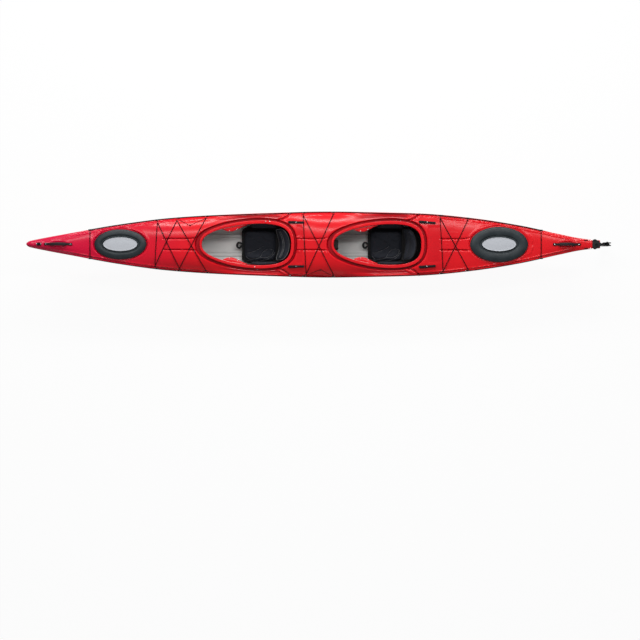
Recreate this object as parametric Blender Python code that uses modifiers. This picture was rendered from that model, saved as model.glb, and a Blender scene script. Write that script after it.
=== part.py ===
"""Two-seat sea kayak with a kick-up rudder, built piece by piece at its real size.

Metres, +X towards the stern, +Y to starboard, +Z up. X = 0 is the middle of the hull's
length and Z = 0 the lowest point of the keel. The hull is one moulded shell with two
cockpits and two oval hatches; the rudder hangs down behind the stern, as when paddling.
"""

import math

import bmesh
import bpy
import numpy as np
from mathutils import Matrix, Vector

# Hull: stations along X with half beam and heights
HALF_LENGTH = 2.750
WALL = 0.005
GAP = 0.0003
BAND = 0.034
HALF_BEAM = (
    (-2.750, 0.018), (-2.715, 0.030), (-2.626, 0.050), (-2.319, 0.108), (-1.858, 0.191),
    (-1.397, 0.251), (-0.936, 0.283), (-0.398, 0.305), (0.139, 0.318), (0.754, 0.308),
    (1.061, 0.298), (1.522, 0.255), (1.983, 0.183), (2.367, 0.098), (2.550, 0.060),
    (2.674, 0.044), (2.750, 0.038),
)
KEEL = (
    (-2.750, 0.423), (-2.626, 0.289), (-2.473, 0.170), (-2.396, 0.129), (-2.319, 0.107),
    (-2.088, 0.088), (-1.474, 0.041), (-0.706, 0.018), (0.062, 0.003), (0.831, 0.000),
    (1.368, 0.003), (1.983, 0.021), (2.521, 0.038), (2.593, 0.053), (2.702, 0.240),
    (2.750, 0.242),
)
CROWN = (
    (-2.750, 0.446), (-2.690, 0.453), (-2.549, 0.449), (-2.396, 0.440), (-2.200, 0.409),
    (-1.900, 0.388), (-1.660, 0.380), (-1.474, 0.392), (-1.301, 0.397), (-1.090, 0.386),
    (-0.859, 0.340), (-0.706, 0.316), (-0.552, 0.308), (-0.398, 0.310), (-0.245, 0.327),
    (-0.091, 0.350), (0.062, 0.367), (0.216, 0.363), (0.370, 0.337), (0.523, 0.303),
    (0.677, 0.285), (0.831, 0.289), (0.984, 0.308), (1.138, 0.318), (1.291, 0.307),
    (1.445, 0.315), (1.676, 0.320), (1.983, 0.328), (2.136, 0.333), (2.330, 0.354),
    (2.597, 0.360), (2.750, 0.359),
)
SHEER = (
    (-2.750, 0.434), (-2.500, 0.409), (-2.144, 0.382), (-1.511, 0.332), (-1.023, 0.304),
    (-0.584, 0.289), (-0.088, 0.277), (0.190, 0.268), (0.777, 0.272), (1.229, 0.282),
    (1.479, 0.291), (2.187, 0.325), (2.640, 0.351), (2.750, 0.354),
)
# How full the deck's section is: a higher number keeps it flat further out
SHOULDER = (
    (-2.750, 2.5), (-2.100, 2.8), (-1.400, 3.2), (-0.900, 3.6), (-0.160, 4.5), (0.070, 3.4),
    (0.500, 3.8), (1.100, 4.5), (1.300, 3.4), (2.200, 3.0), (2.750, 2.8),
)
BOTTOM_STEPS = 5
DECK_STEPS = 8

# Hull zones along X: (start, end, number of steps, what the deck holds there)
ZONES = (
    (-2.750, -2.165, 8, None),
    (-2.165, -1.580, 7, "front_hatch"),
    (-1.580, -1.186, 3, None),
    (-1.186, -0.095, 10, "front_cockpit"),
    (-0.095, 0.072, 2, None),
    (0.072, 1.140, 10, "rear_cockpit"),
    (1.140, 1.455, 3, None),
    (1.455, 2.117, 7, "rear_hatch"),
    (2.117, 2.750, 8, None),
)
CAVITY = (-2.53, 2.56)

# The moulding in four lengths that meet at plain cross-sections: name, first and last zone
HULL_LENGTHS = (
    ("hull_bow", 0, 1), ("hull_front", 2, 4), ("hull_rear", 5, 6), ("hull_stern", 7, 8),
)

# Cockpits: the opening is an egg, widest behind its middle
COCKPITS = {
    "front_cockpit": {"centre": -0.644, "half_length": 0.428, "half_width": 0.200},
    "rear_cockpit": {"centre": 0.616, "half_length": 0.422, "half_width": 0.196},
}
EGG_SKEW = 0.134
EGG_POWER = 0.85
RIM_FRONT, RIM_REAR, RIM_SIDE = 0.023, 0.032, 0.040
MOAT_FRONT, MOAT_REAR, MOAT_SIDE = 0.068, 0.058, 0.060
MOAT_DEPTH = 0.028
RIM_THICK = 0.010

# Hatches: the lid's outline is an ellipse, and its plane follows the deck
HATCHES = {
    "front_hatch": {"centre": -1.853, "half_length": 0.2487, "half_width": 0.1435,
                    "height": 0.384, "slope": -0.052},
    "rear_hatch": {"centre": 1.784, "half_length": 0.2775, "half_width": 0.1685,
                   "height": 0.329, "slope": 0.030},
}
PLATE_HALF = (0.162, 0.065)

# Seats: a pan hung under the rim, a cushion and a low backband
SEAT_FRONT_EDGE = {"front": -0.686, "rear": 0.537}
SEAT_FLOOR = {"front": 0.055, "rear": 0.040}
PAN_LENGTH, PAN_HALF_WIDTH, PAN_WALL = 0.370, 0.176, 0.004
CUSHION_LENGTH, CUSHION_WIDTH, CUSHION_THICK = 0.333, 0.334, 0.036
SEAM_ACROSS, SEAM_ALONG = 0.20, 0.45
BACKBAND_HALF_WIDTH, BACKBAND_HEIGHT, BACKBAND_THICK = 0.150, 0.185, 0.026
BACKBAND_SWEEP = 0.060
BACKBAND_LEAN = math.radians(34)

# Deck fittings along each edge: X and distance from the middle line
DECK_EYES = (
    (-2.142, 0.130), (-1.510, 0.227), (-1.299, 0.243), (-1.023, 0.266), (-0.089, 0.302),
    (0.191, 0.305), (1.229, 0.275), (1.483, 0.249), (2.187, 0.134),
)
EYE_SIZE = (0.042, 0.014, 0.010)
EYE_INSET = 0.3
LINE_RADIUS = 0.003
DECK_STRAPS = {"front": (-0.245, -0.109, 0.004), "rear": (1.013, 1.176, 0.012)}

# Footrests: X and height of each rail's two screws, on both sides
FOOT_RAILS = {
    "front": ((-1.560, 0.202), (-1.186, 0.178)),
    "rear": ((-0.349, 0.138), (0.013, 0.130)),
}
RAIL_DEPTH, RAIL_HEIGHT = 0.010, 0.026
PEG_ALONG = {"front": 0.52, "rear": 0.55}
PEG_PAD_WIDTH, PEG_PAD_HALF_HEIGHT = 0.072, 0.042

# Walls inside the hull: where each begins, and how thick it is
BULKHEADS = {"front_bulkhead": -1.579, "rear_bulkhead": 1.330}
BULKHEAD_THICK = 0.016
PILLAR_X = (-0.045, 0.068, 0.088, 0.239)
PILLAR_HALF_WIDTH = 0.044
PILLAR_LOW_TOP = 0.326
CONDUIT_RADIUS = 0.004

# Rudder
STEER_X = 2.713
PIVOT = (2.817, 0.3927)
BLADE_TIP = -0.122
BLADE_THICK = 0.014
CHEEK_INNER, CHEEK_OUTER = 0.0085, 0.0165
YOKE_HALF_WIDTH = 0.049

COLOURS = {
    "hull_red": ((0.72, 0.016, 0.03), 0.32, 0.0),
    "hatch_rubber": ((0.035, 0.045, 0.047), 0.55, 0.0),
    "hatch_plate": ((0.55, 0.56, 0.57), 0.45, 0.0),
    "seat_plastic": ((0.02, 0.02, 0.022), 0.45, 0.0),
    "seat_fabric": ((0.016, 0.018, 0.022), 0.85, 0.0),
    "bulkhead_foam": ((0.05, 0.05, 0.052), 0.8, 0.0),
    "webbing": ((0.013, 0.013, 0.014), 0.75, 0.0),
    "cord": ((0.012, 0.010, 0.012), 0.6, 0.0),
    "rail_metal": ((0.62, 0.62, 0.63), 0.3, 1.0),
    "fitting_plastic": ((0.014, 0.014, 0.015), 0.4, 0.0),
    "rudder_plastic": ((0.045, 0.045, 0.045), 0.42, 0.0),
    "steel": ((0.62, 0.62, 0.62), 0.25, 1.0),
}


def clear_scene():
    for item in list(bpy.data.objects):
        bpy.data.objects.remove(item, do_unlink=True)


def new_collection(name):
    collection = bpy.data.collections.new(name)
    bpy.context.scene.collection.children.link(collection)
    return collection


def material(name):
    """The Principled material of that name, made the first time it is asked for."""
    if name in bpy.data.materials:
        return bpy.data.materials[name]
    colour, roughness, metallic = COLOURS[name]
    made = bpy.data.materials.new(name)
    made.use_nodes = True
    shader = made.node_tree.nodes["Principled BSDF"]
    shader.inputs["Base Color"].default_value = (*colour, 1.0)
    shader.inputs["Roughness"].default_value = roughness
    shader.inputs["Metallic"].default_value = metallic
    return made


def add_object(name, data, slot, parent=None):
    """A new object in the kayak's collection; its mesh or curve is in world coordinates."""
    obj = bpy.data.objects.new(name, data)
    bpy.data.collections["SeaKayak"].objects.link(obj)
    data.materials.append(material(slot))
    if parent is not None:
        obj.parent = parent
        obj.matrix_parent_inverse = Matrix.Translation(parent.location).inverted()
    return obj


def pivot_empty(name, location):
    """An empty on a joint's axis, which carries the pieces that move together."""
    empty = bpy.data.objects.new(name, None)
    empty.empty_display_size = 0.05
    empty.location = location
    bpy.data.collections["SeaKayak"].objects.link(empty)
    return empty


def smooth_curve(points, x):
    """Cubic through (x, value) points that never overshoots: slopes are harmonic means."""
    px, py = np.array(points, float).T
    rise = np.diff(py) / np.diff(px)
    before, after = rise[:-1], rise[1:]
    same_way = before * after > 0
    total = np.where(same_way, before + after, 1.0)
    inner = np.where(same_way, 2 * before * after / total, 0.0)
    slope = np.concatenate([rise[:1], inner, rise[-1:]])
    x = np.clip(np.asarray(x, float), px[0], px[-1])
    i = np.clip(np.searchsorted(px, x, side="right") - 1, 0, len(px) - 2)
    width = px[i + 1] - px[i]
    t = (x - px[i]) / width
    return (
        py[i] * (1 + 2 * t) * (1 - t) ** 2
        + slope[i] * width * t * (1 - t) ** 2
        + py[i + 1] * t * t * (3 - 2 * t)
        - slope[i + 1] * width * t * t * (1 - t)
    )


def edge_half_width(x):
    """Half the deck's width at the sheer line."""
    return smooth_curve(HALF_BEAM, x) - 0.0015


def deck_height(x, y):
    """Deck surface: flat across the middle, falling over a shoulder to the sheer line."""
    v = np.clip(np.abs(y) / edge_half_width(x), 0, 1)
    sheer = smooth_curve(SHEER, x)
    return sheer + (smooth_curve(CROWN, x) - sheer) * (1 - v ** smooth_curve(SHOULDER, x))


def hull_fullness(x):
    """Exponent of the bottom's section: near a V at the ends, full amidships."""
    return 1.6 + 1.3 * (1 - np.abs(x / HALF_LENGTH) ** 2.5)


def deck_stops():
    """Places across the deck, from -1 at port to 1 at starboard, closer near the edges."""
    return np.sin(np.linspace(-math.pi / 2, math.pi / 2, DECK_STEPS + 1))


def section(x):
    """Closed outer section at x as (y, z) rows: deck from port, then round the bottom."""
    beam = smooth_curve(HALF_BEAM, x)
    sheer, keel = smooth_curve(SHEER, x), smooth_curve(KEEL, x)
    band = min(BAND, 0.45 * (sheer - keel))
    side = beam - min(0.010, 0.2 * beam)
    power = 2 / hull_fullness(x)
    angle = np.linspace(math.pi / 2, 0, BOTTOM_STEPS + 1)
    bottom_y = side * np.sin(angle) ** power
    bottom_z = sheer - band - (sheer - band - keel) * np.cos(angle) ** power
    deck_y = edge_half_width(x) * deck_stops()
    deck = np.column_stack([deck_y, deck_height(x, deck_y)])
    edge = np.array([[beam, sheer - 0.6 * band]])
    starboard = np.column_stack([bottom_y, bottom_z])
    port = starboard[-2::-1] * (-1, 1)
    return np.vstack([deck, edge, starboard, port, edge * (-1, 1)])


def offset_inwards(ring, distance):
    """The closed (y, z) ring moved inwards by a distance, mitred at its corners."""
    along = np.roll(ring, -1, axis=0) - ring
    along /= np.linalg.norm(along, axis=1)[:, None]
    normal = np.column_stack([along[:, 1], -along[:, 0]])
    if np.sum(ring[:, 0] * np.roll(ring[:, 1], -1) - ring[:, 1] * np.roll(ring[:, 0], -1)) > 0:
        normal = -normal
    corner = normal + np.roll(normal, 1, axis=0)
    corner /= np.linalg.norm(corner, axis=1)[:, None]
    share = np.clip(np.sum(corner * normal, axis=1), 0.55, 1)
    return ring + corner * (distance / share)[:, None]


def at_station(x, ring):
    return np.column_stack([np.full(len(ring), x), ring])


def stations():
    """All stations along the hull, and for each zone its first and last index."""
    xs, spans = [], []
    for start, end, steps, holds in ZONES:
        first = max(len(xs) - 1, 0)
        xs = xs[:-1] + list(np.linspace(start, end, steps + 1))
        spans.append((first, len(xs) - 1, holds))
    return np.array(xs), spans


def build_mesh(name, patches, slot, parent=None, smooth=True):
    """One mesh from grids of points: (rows, columns, 3) arrays, or lists as single faces."""
    bm = bmesh.new()
    for patch in patches:
        if isinstance(patch, list):
            bm.faces.new([bm.verts.new(point) for point in patch])
            continue
        rows, columns, _ = patch.shape
        verts = [[bm.verts.new(point) for point in row] for row in patch]
        for i in range(rows - 1):
            for j in range(columns - 1):
                bm.faces.new(
                    (verts[i][j], verts[i][j + 1], verts[i + 1][j + 1], verts[i + 1][j])
                )
    bmesh.ops.remove_doubles(bm, verts=bm.verts, dist=0.00002)
    bmesh.ops.dissolve_degenerate(bm, dist=0.00001, edges=bm.edges)
    bmesh.ops.recalc_face_normals(bm, faces=bm.faces)
    if bm.calc_volume(signed=True) < 0:
        bmesh.ops.reverse_faces(bm, faces=bm.faces)
    data = bpy.data.meshes.new(name)
    bm.to_mesh(data)
    bm.free()
    if smooth:
        data.shade_smooth()
        data.set_sharp_from_angle(angle=math.radians(40))
    return add_object(name, data, slot, parent)


def rings_to_patch(rings):
    """Rings of equal length joined into one grid that closes on itself."""
    return np.array([np.vstack([ring, ring[:1]]) for ring in rings])


def loft(name, rings, slot, parent=None):
    """A closed solid through rings of equal length, capped at both ends."""
    caps = [[tuple(p) for p in rings[0]], [tuple(p) for p in rings[-1]]]
    return build_mesh(name, [rings_to_patch(rings)] + caps, slot, parent)


def egg(cockpit, angle, front=0.0, rear=0.0, side=0.0):
    """Plan points of a cockpit outline grown by front, rear and side, at these angles."""
    spec = COCKPITS[cockpit]
    centre = spec["centre"] + (rear - front) / 2
    half_length = spec["half_length"] + (rear + front) / 2
    x = centre - half_length * np.cos(angle) + EGG_SKEW * np.sin(angle) ** 2
    wide = np.sign(np.sin(angle)) * np.abs(np.sin(angle)) ** EGG_POWER
    return x, (spec["half_width"] + side) * wide


def egg_half_width(cockpit, x):
    """Half width of the bare opening at x, by inverting the egg's formula."""
    spec = COCKPITS[cockpit]
    shift = (x - spec["centre"]) / EGG_SKEW
    ratio = spec["half_length"] / EGG_SKEW
    cosine = (-ratio + np.sqrt(ratio**2 - 4 * (shift - 1))) / 2
    sine = np.sqrt(np.clip(1 - cosine**2, 0, 1))
    return spec["half_width"] * sine**EGG_POWER


def moat_height(x, y):
    return np.minimum(smooth_curve(CROWN, x) - MOAT_DEPTH, deck_height(x, y) - 0.004)


def points_at(x, y, z):
    return np.column_stack([x, y, z])


def zone_loop(outer, first, last):
    """The deck zone's edge as one closed loop: port, aft, starboard, forward."""
    top = DECK_STEPS
    port = [outer[i][0] for i in range(first, last + 1)]
    aft = [outer[last][j] for j in range(1, top + 1)]
    starboard = [outer[i][top] for i in range(last - 1, first - 1, -1)]
    forward = [outer[first][j] for j in range(top - 1, 0, -1)]
    return np.array(port + aft + starboard + forward)


def loop_angles(loop):
    """An angle for each loop point, evenly spaced, 0 at the bow end and negative to port."""
    count = len(loop)
    angle = -(np.arange(count) + DECK_STEPS // 2) * 2 * math.pi / count
    return np.where(angle < -math.pi, angle + 2 * math.pi, angle)


def cockpit_rings(cockpit, outer_loop, inner_loop):
    """Deck, moat, rim and the wall down to the underside, from outside to inside."""
    angle = loop_angles(outer_loop)
    moat_x, moat_y = egg(cockpit, angle, MOAT_FRONT, MOAT_REAR, MOAT_SIDE)
    low_x, low_y = egg(cockpit, angle, MOAT_FRONT - 0.014, MOAT_REAR - 0.012, MOAT_SIDE - 0.010)
    wall_x, wall_y = egg(cockpit, angle, 0.007, 0.007, 0.007)
    rim_x, rim_y = egg(cockpit, angle, RIM_FRONT, RIM_REAR, RIM_SIDE)
    top_x, top_y = egg(cockpit, angle, RIM_FRONT - 0.007, RIM_REAR - 0.008, RIM_SIDE - 0.009)
    edge_x, edge_y = egg(cockpit, angle)
    half_x = (outer_loop[:, 0] + moat_x) / 2
    half_y = (outer_loop[:, 1] + moat_y) / 2
    rim_z = smooth_curve(CROWN, rim_x)
    low_z = moat_height(low_x, low_y)
    edge_z = smooth_curve(CROWN, edge_x)
    return [
        outer_loop,
        points_at(half_x, half_y, deck_height(half_x, half_y)),
        points_at(moat_x, moat_y, deck_height(moat_x, moat_y)),
        points_at(low_x, low_y, low_z),
        points_at(wall_x, wall_y, moat_height(wall_x, wall_y)),
        points_at(wall_x, wall_y, smooth_curve(CROWN, wall_x) - RIM_THICK),
        points_at(rim_x, rim_y, rim_z - RIM_THICK),
        points_at(rim_x, rim_y, rim_z - 0.003),
        points_at(top_x, top_y, smooth_curve(CROWN, top_x)),
        points_at(edge_x, edge_y, edge_z - 0.002),
        points_at(edge_x, edge_y, moat_height(edge_x, edge_y) - WALL),
        points_at(low_x, low_y, low_z - WALL),
        points_at(moat_x, moat_y, deck_height(moat_x, moat_y) - WALL - 0.001),
        points_at(half_x, half_y, deck_height(half_x, half_y) - WALL),
        inner_loop,
    ]


def ellipse(hatch, angle, inset=0.0):
    spec = HATCHES[hatch]
    x = spec["centre"] - (spec["half_length"] - inset) * np.cos(angle)
    return x, (spec["half_width"] - inset) * np.sin(angle)


def hatch_plane(hatch, x, above=0.0):
    """Height of the hatch's own tilted plane at x."""
    spec = HATCHES[hatch]
    return spec["height"] + spec["slope"] * (x - spec["centre"]) + above


def hatch_rings(hatch, outer_loop, inner_loop):
    """Deck, recess, upstanding rim and the wall down to the underside."""
    angle = loop_angles(outer_loop)
    edge_x, edge_y = ellipse(hatch, angle, -0.012)
    floor_x, floor_y = ellipse(hatch, angle, -0.005)
    rim_x, rim_y = ellipse(hatch, angle, 0.014)
    hole_x, hole_y = ellipse(hatch, angle, 0.023)
    half_x = (outer_loop[:, 0] + edge_x) / 2
    half_y = (outer_loop[:, 1] + edge_y) / 2
    edge_z = deck_height(edge_x, edge_y)
    floor_z = np.minimum(hatch_plane(hatch, floor_x, -0.012), edge_z - 0.001)
    return [
        outer_loop,
        points_at(half_x, half_y, deck_height(half_x, half_y)),
        points_at(edge_x, edge_y, edge_z),
        points_at(floor_x, floor_y, floor_z),
        points_at(rim_x, rim_y, hatch_plane(hatch, rim_x, -0.013)),
        points_at(rim_x, rim_y, hatch_plane(hatch, rim_x, 0.004)),
        points_at(hole_x, hole_y, hatch_plane(hatch, hole_x, 0.004)),
        points_at(hole_x, hole_y, hatch_plane(hatch, hole_x, -0.020)),
        points_at(edge_x, edge_y, np.minimum(edge_z, floor_z) - WALL - 0.002),
        points_at(half_x, half_y, deck_height(half_x, half_y) - WALL - 0.001),
        inner_loop,
    ]


def hull_sections():
    """Outer and inner rings at every station, as lists of (n, 3) arrays."""
    xs, spans = stations()
    outer = [at_station(x, section(x)) for x in xs]
    inner = [at_station(x, offset_inwards(section(x), WALL)) for x in xs]
    return xs, spans, outer, inner


def make_hull_length(name, zones):
    """One length of hull and deck: an outer and an inner skin joined at every opening."""
    xs, spans, outer, inner = hull_sections()
    start, end = spans[zones[0]][0], spans[zones[-1]][1]
    if start > 0:
        outer[start] = outer[start] + (GAP, 0, 0)
        inner[start] = inner[start] + (GAP, 0, 0)
    top = DECK_STEPS
    hollow = [i for i in range(start, end + 1) if CAVITY[0] <= xs[i] <= CAVITY[1]]
    patches = [
        np.array([np.vstack([outer[i][top:], outer[i][:1]]) for i in range(start, end + 1)]),
        np.array([np.vstack([inner[i][top:], inner[i][:1]]) for i in hollow]),
    ]
    for first, last, holds in [spans[zone] for zone in zones]:
        if holds is None:
            patches.append(np.array([ring[: top + 1] for ring in outer[first : last + 1]]))
            inside = [i for i in hollow if first <= i <= last]
            patches.append(np.array([inner[i][: top + 1] for i in inside]))
            continue
        rings = cockpit_rings if holds in COCKPITS else hatch_rings
        loops = zone_loop(outer, first, last), zone_loop(inner, first, last)
        patches.append(rings_to_patch(rings(holds, *loops)))
    for station, hollow_end in ((start, hollow[0]), (end, hollow[-1])):
        if station == hollow_end:
            patches.append(rings_to_patch([outer[station], inner[station]]))
        else:
            patches.append([tuple(point) for point in outer[station]])
            patches.append([tuple(point) for point in inner[hollow_end]])
    return build_mesh(name, patches, "hull_red")


def inner_ring_at(x, clearance):
    """The inner skin's section at x, between its two nearest stations, moved inwards."""
    xs, _, _, inner = hull_sections()
    i = int(np.clip(np.searchsorted(xs, x) - 1, 0, len(xs) - 2))
    t = (x - xs[i]) / (xs[i + 1] - xs[i])
    ring = (1 - t) * inner[i][:, 1:] + t * inner[i + 1][:, 1:]
    return at_station(x, offset_inwards(ring, clearance))


def inner_side(x, z):
    """Half width inside the hull at that height, on the flat facets of the inner skin."""
    ring = inner_ring_at(x, 0.0)
    keel = DECK_STEPS + 2 + BOTTOM_STEPS
    return float(np.interp(z, ring[keel : DECK_STEPS + 1 : -1, 2], ring[keel : DECK_STEPS + 1 : -1, 1]))


def inner_floor(x, y):
    """Height of the inner skin's bottom at that distance from the middle line."""
    ring = inner_ring_at(x, 0.0)
    keel = DECK_STEPS + 2 + BOTTOM_STEPS
    return float(np.interp(abs(y), ring[keel : DECK_STEPS + 1 : -1, 1], ring[keel : DECK_STEPS + 1 : -1, 2]))


def make_bulkhead(name, x, thickness):
    """A watertight wall across the inside of the hull."""
    rings = [inner_ring_at(x, 0.0014), inner_ring_at(x + thickness, 0.0014)]
    return loft(name, rings, "bulkhead_foam")


def make_pillar():
    """The foam post between the paddlers, which ends in the front of the rear cockpit."""
    rings = []
    for x in PILLAR_X:
        top = PILLAR_LOW_TOP if x > 0.08 else float(deck_height(x, PILLAR_HALF_WIDTH)) - WALL - 0.003
        half = PILLAR_HALF_WIDTH
        ring = [(half, inner_floor(x, half) + 0.0008), (half, top), (-half, top)]
        ring += [(-half, inner_floor(x, half) + 0.0008), (0, inner_floor(x, 0) + 0.0008)]
        rings.append(at_station(x, np.array(ring)))
    loft("centre_pillar", rings, "bulkhead_foam")


def make_box(name, low, high, slot, bevel=0.0, parent=None):
    """A box between two corners, its edges rounded by bevel."""
    bm = bmesh.new()
    bmesh.ops.create_cube(bm, size=1)
    low, high = Vector(low), Vector(high)
    bmesh.ops.scale(bm, vec=high - low, verts=bm.verts)
    bmesh.ops.translate(bm, vec=(low + high) / 2, verts=bm.verts)
    data = bpy.data.meshes.new(name)
    bm.to_mesh(data)
    bm.free()
    obj = add_object(name, data, slot, parent)
    if bevel:
        rounding = obj.modifiers.new("edges", "BEVEL")
        rounding.width = bevel
        rounding.segments = 2
    return obj


def make_hatch(hatch, parent):
    """A rubber lid that caps the rim, and the plate set on top of it."""
    angle = np.linspace(0, 2 * math.pi, 26, endpoint=False)
    profile = (
        (0.050, 0.0105), (0.030, 0.0105), (0.0255, 0.0047), (0.013, 0.0047), (0.011, 0.0030),
        (0.010, -0.0095), (0.002, -0.0095), (0.000, -0.0060), (0.000, 0.0040), (0.010, 0.0120),
        (0.045, 0.0165), (0.052, 0.0145),
    )
    rings = []
    for inset, above in profile:
        x, y = ellipse(hatch, angle, inset)
        rings.append(points_at(x, y, hatch_plane(hatch, x, above)))
    loft(f"{hatch}_lid", rings, "hatch_rubber", parent)
    centre = HATCHES[hatch]["centre"]
    x = centre - PLATE_HALF[0] * np.cos(angle)
    y = PLATE_HALF[1] * np.sin(angle)
    heights = (0.0145 + GAP, 0.0175)
    rings = [points_at(x, y, hatch_plane(hatch, x, above)) for above in heights]
    loft(f"{hatch}_plate", rings, "hatch_plate", parent)


def seat_floor_line(seat, along):
    """Height of the pan's underside along the seat, dished towards the back."""
    return SEAT_FLOOR[seat] - 0.008 * np.sin(math.pi * np.clip(along, 0, 1)) + 0.012 * (1 - along)


def make_seat_pan(seat):
    """A moulded seat pan whose side wings rise to just inside the cockpit's rim."""
    cockpit = f"{seat}_cockpit"
    front = SEAT_FRONT_EDGE[seat] - 0.010
    rings = []
    for along in (0, 0.06, 0.15, 0.25, 0.35, 0.5, 0.65, 0.8, 0.92, 1):
        x = front + PAN_LENGTH * along
        floor = float(seat_floor_line(seat, along))
        wing = smooth_step((along - 0.08) / 0.24) * (1 - 0.55 * smooth_step((along - 0.85) / 0.15))
        half = PAN_HALF_WIDTH - 0.030 * (1 - smooth_step(along / 0.15))
        reach = max(half, float(egg_half_width(cockpit, x)) - 0.0030)
        lean = half + (reach - half) * wing
        top = floor + 0.034 + wing * (float(smooth_curve(CROWN, x)) - 0.014 - floor - 0.034)
        under = [
            (0.0, floor), (0.55 * half, floor), (half - 0.012, floor), (half, floor + 0.012),
            ((half + lean) / 2, (floor + 0.012 + top) / 2), (lean, top),
        ]
        above = [
            (lean - PAN_WALL, top), ((half + lean) / 2 - PAN_WALL, (floor + 0.012 + top) / 2),
            (half - PAN_WALL, floor + 0.014), (half - 0.0135, floor + PAN_WALL),
            (0.55 * half, floor + PAN_WALL), (0.0, floor + PAN_WALL),
        ]
        starboard = np.array(under + above)
        port = starboard[-2:0:-1] * (-1, 1)
        rings.append(at_station(x, np.vstack([starboard, port])))
    loft(f"{seat}_seat_pan", rings, "seat_plastic")


def cushion_grid(seam_across, seam_along):
    """Grid lines from -1 to 1 both ways, set close together beside the sewn seams."""
    rest = (-1, -0.94, -0.82, -0.62, -0.38, -0.12, 0.50, 0.72, 0.88, 0.96, 1)
    u = np.array(sorted(rest + (seam_across - 0.045, seam_across, seam_across + 0.045)))
    half = (0.20, seam_along - 0.045, seam_along, seam_along + 0.045, 0.70, 0.86, 0.95, 1)
    v = np.array([-a for a in reversed(half)] + [0] + list(half))
    return np.meshgrid(u, v, indexing="ij")


def make_cushion(seat):
    """A seat cushion: crowned, sides drawn in between the corners, with sewn channels."""
    front = SEAT_FRONT_EDGE[seat]
    u, v = cushion_grid(SEAM_ACROSS, SEAM_ALONG)
    corner = (np.abs(u) ** 5 + np.abs(v) ** 5) ** 0.2
    rim = np.maximum(np.abs(u), np.abs(v))
    squeeze = rim / np.maximum(corner, 1e-9)
    x = front + CUSHION_LENGTH / 2 * (1 + u * squeeze * (1 - 0.03 * (1 - v**2)))
    y = CUSHION_WIDTH / 2 * v * squeeze * (1 - 0.03 * (1 - u**2))
    crown = np.sqrt(np.clip(1 - rim**3, 0, 1))
    across = (np.abs(u - SEAM_ACROSS) < 0.001) & (np.abs(v) > SEAM_ALONG - 0.001)
    along = (np.abs(np.abs(v) - SEAM_ALONG) < 0.001) & (u < SEAM_ACROSS + 0.001)
    channel = 0.006 * ((across | along) & (rim < 0.9))
    place = (x - front + 0.010) / PAN_LENGTH
    middle = seat_floor_line(seat, place) + PAN_WALL + GAP + 0.3 * CUSHION_THICK
    top = middle + 0.7 * CUSHION_THICK * crown - channel
    under = middle - 0.3 * CUSHION_THICK * crown
    build_mesh(f"{seat}_seat_cushion", [np.dstack([x, y, top]), np.dstack([x, y, under])], "seat_fabric")


def make_backband(seat, parent):
    """A padded backband, hollowed towards the paddler, leaning back on its hinge line."""
    hinge_x, hinge_z = backband_hinge(seat)
    rows = np.array([-1, -0.93, -0.75, -0.45, -0.1, 0.06, 0.1, 0.14, 0.45, 0.75, 0.93, 1])
    columns = np.array([-1, -0.95, -0.82, -0.6, -0.35, 0, 0.35, 0.6, 0.82, 0.95, 1])
    u, v = np.meshgrid(rows, columns, indexing="ij")
    corner = (np.abs(u) ** 4 + np.abs(v) ** 4) ** 0.25
    rim = np.maximum(np.abs(u), np.abs(v))
    squeeze = rim / np.maximum(corner, 1e-9)
    puff = np.sqrt(np.clip(1 - rim**3, 0, 1))
    channel = 0.005 * (np.abs(u - 0.1) < 0.001) * (rim < 0.9)
    up = 0.012 + BACKBAND_HEIGHT / 2 * (1 + u * squeeze)
    y = BACKBAND_HALF_WIDTH * v * squeeze
    sweep = -BACKBAND_SWEEP * (y / BACKBAND_HALF_WIDTH) ** 2
    sides = []
    for facing in (-1, 1):
        depth = sweep + facing * (BACKBAND_THICK / 2 * puff - channel * (facing < 0))
        x = hinge_x + up * math.sin(BACKBAND_LEAN) + depth * math.cos(BACKBAND_LEAN)
        z = hinge_z + up * math.cos(BACKBAND_LEAN) - depth * math.sin(BACKBAND_LEAN)
        sides.append(np.dstack([x, y, z]))
    build_mesh(f"{seat}_backband", sides, "seat_fabric", parent)


def backband_hinge(seat):
    return SEAT_FRONT_EDGE[seat] + 0.345, SEAT_FLOOR[seat] + 0.062


def joined(name, pieces, slot, parent=None):
    """One closed body from overlapping pieces, by Boolean union."""
    base = pieces[0]
    for other in pieces[1:]:
        union = base.modifiers.new("union", "BOOLEAN")
        union.operation = "UNION"
        union.object = other
    graph = bpy.context.evaluated_depsgraph_get()
    bpy.context.view_layer.update()
    data = bpy.data.meshes.new_from_object(base.evaluated_get(graph))
    data.transform(base.matrix_world)
    for piece in pieces:
        bpy.data.objects.remove(piece, do_unlink=True)
    data.materials.clear()
    return add_object(name, data, slot, parent)


def prism(name, outline, low, high, axis, slot, parent=None):
    """A flat outline of (a, b) points given thickness from low to high along an axis."""
    curve = bpy.data.curves.new(name, "CURVE")
    curve.dimensions = "2D"
    curve.fill_mode = "BOTH"
    curve.extrude = (high - low) / 2
    spline = curve.splines.new("POLY")
    spline.points.add(len(outline) - 1)
    for point, (a, b) in zip(spline.points, outline):
        point.co = (a, b, 0, 1)
    spline.use_cyclic_u = True
    flat = bpy.data.objects.new(name, curve)
    bpy.data.collections["SeaKayak"].objects.link(flat)
    middle = (low + high) / 2
    if axis == "Y":
        flat.matrix_world = Matrix.Translation((0, middle, 0)) @ Matrix.Rotation(math.pi / 2, 4, "X")
    else:
        flat.matrix_world = Matrix.Translation((0, 0, middle))
    return mesh_from_curve(flat, slot, parent)


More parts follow.
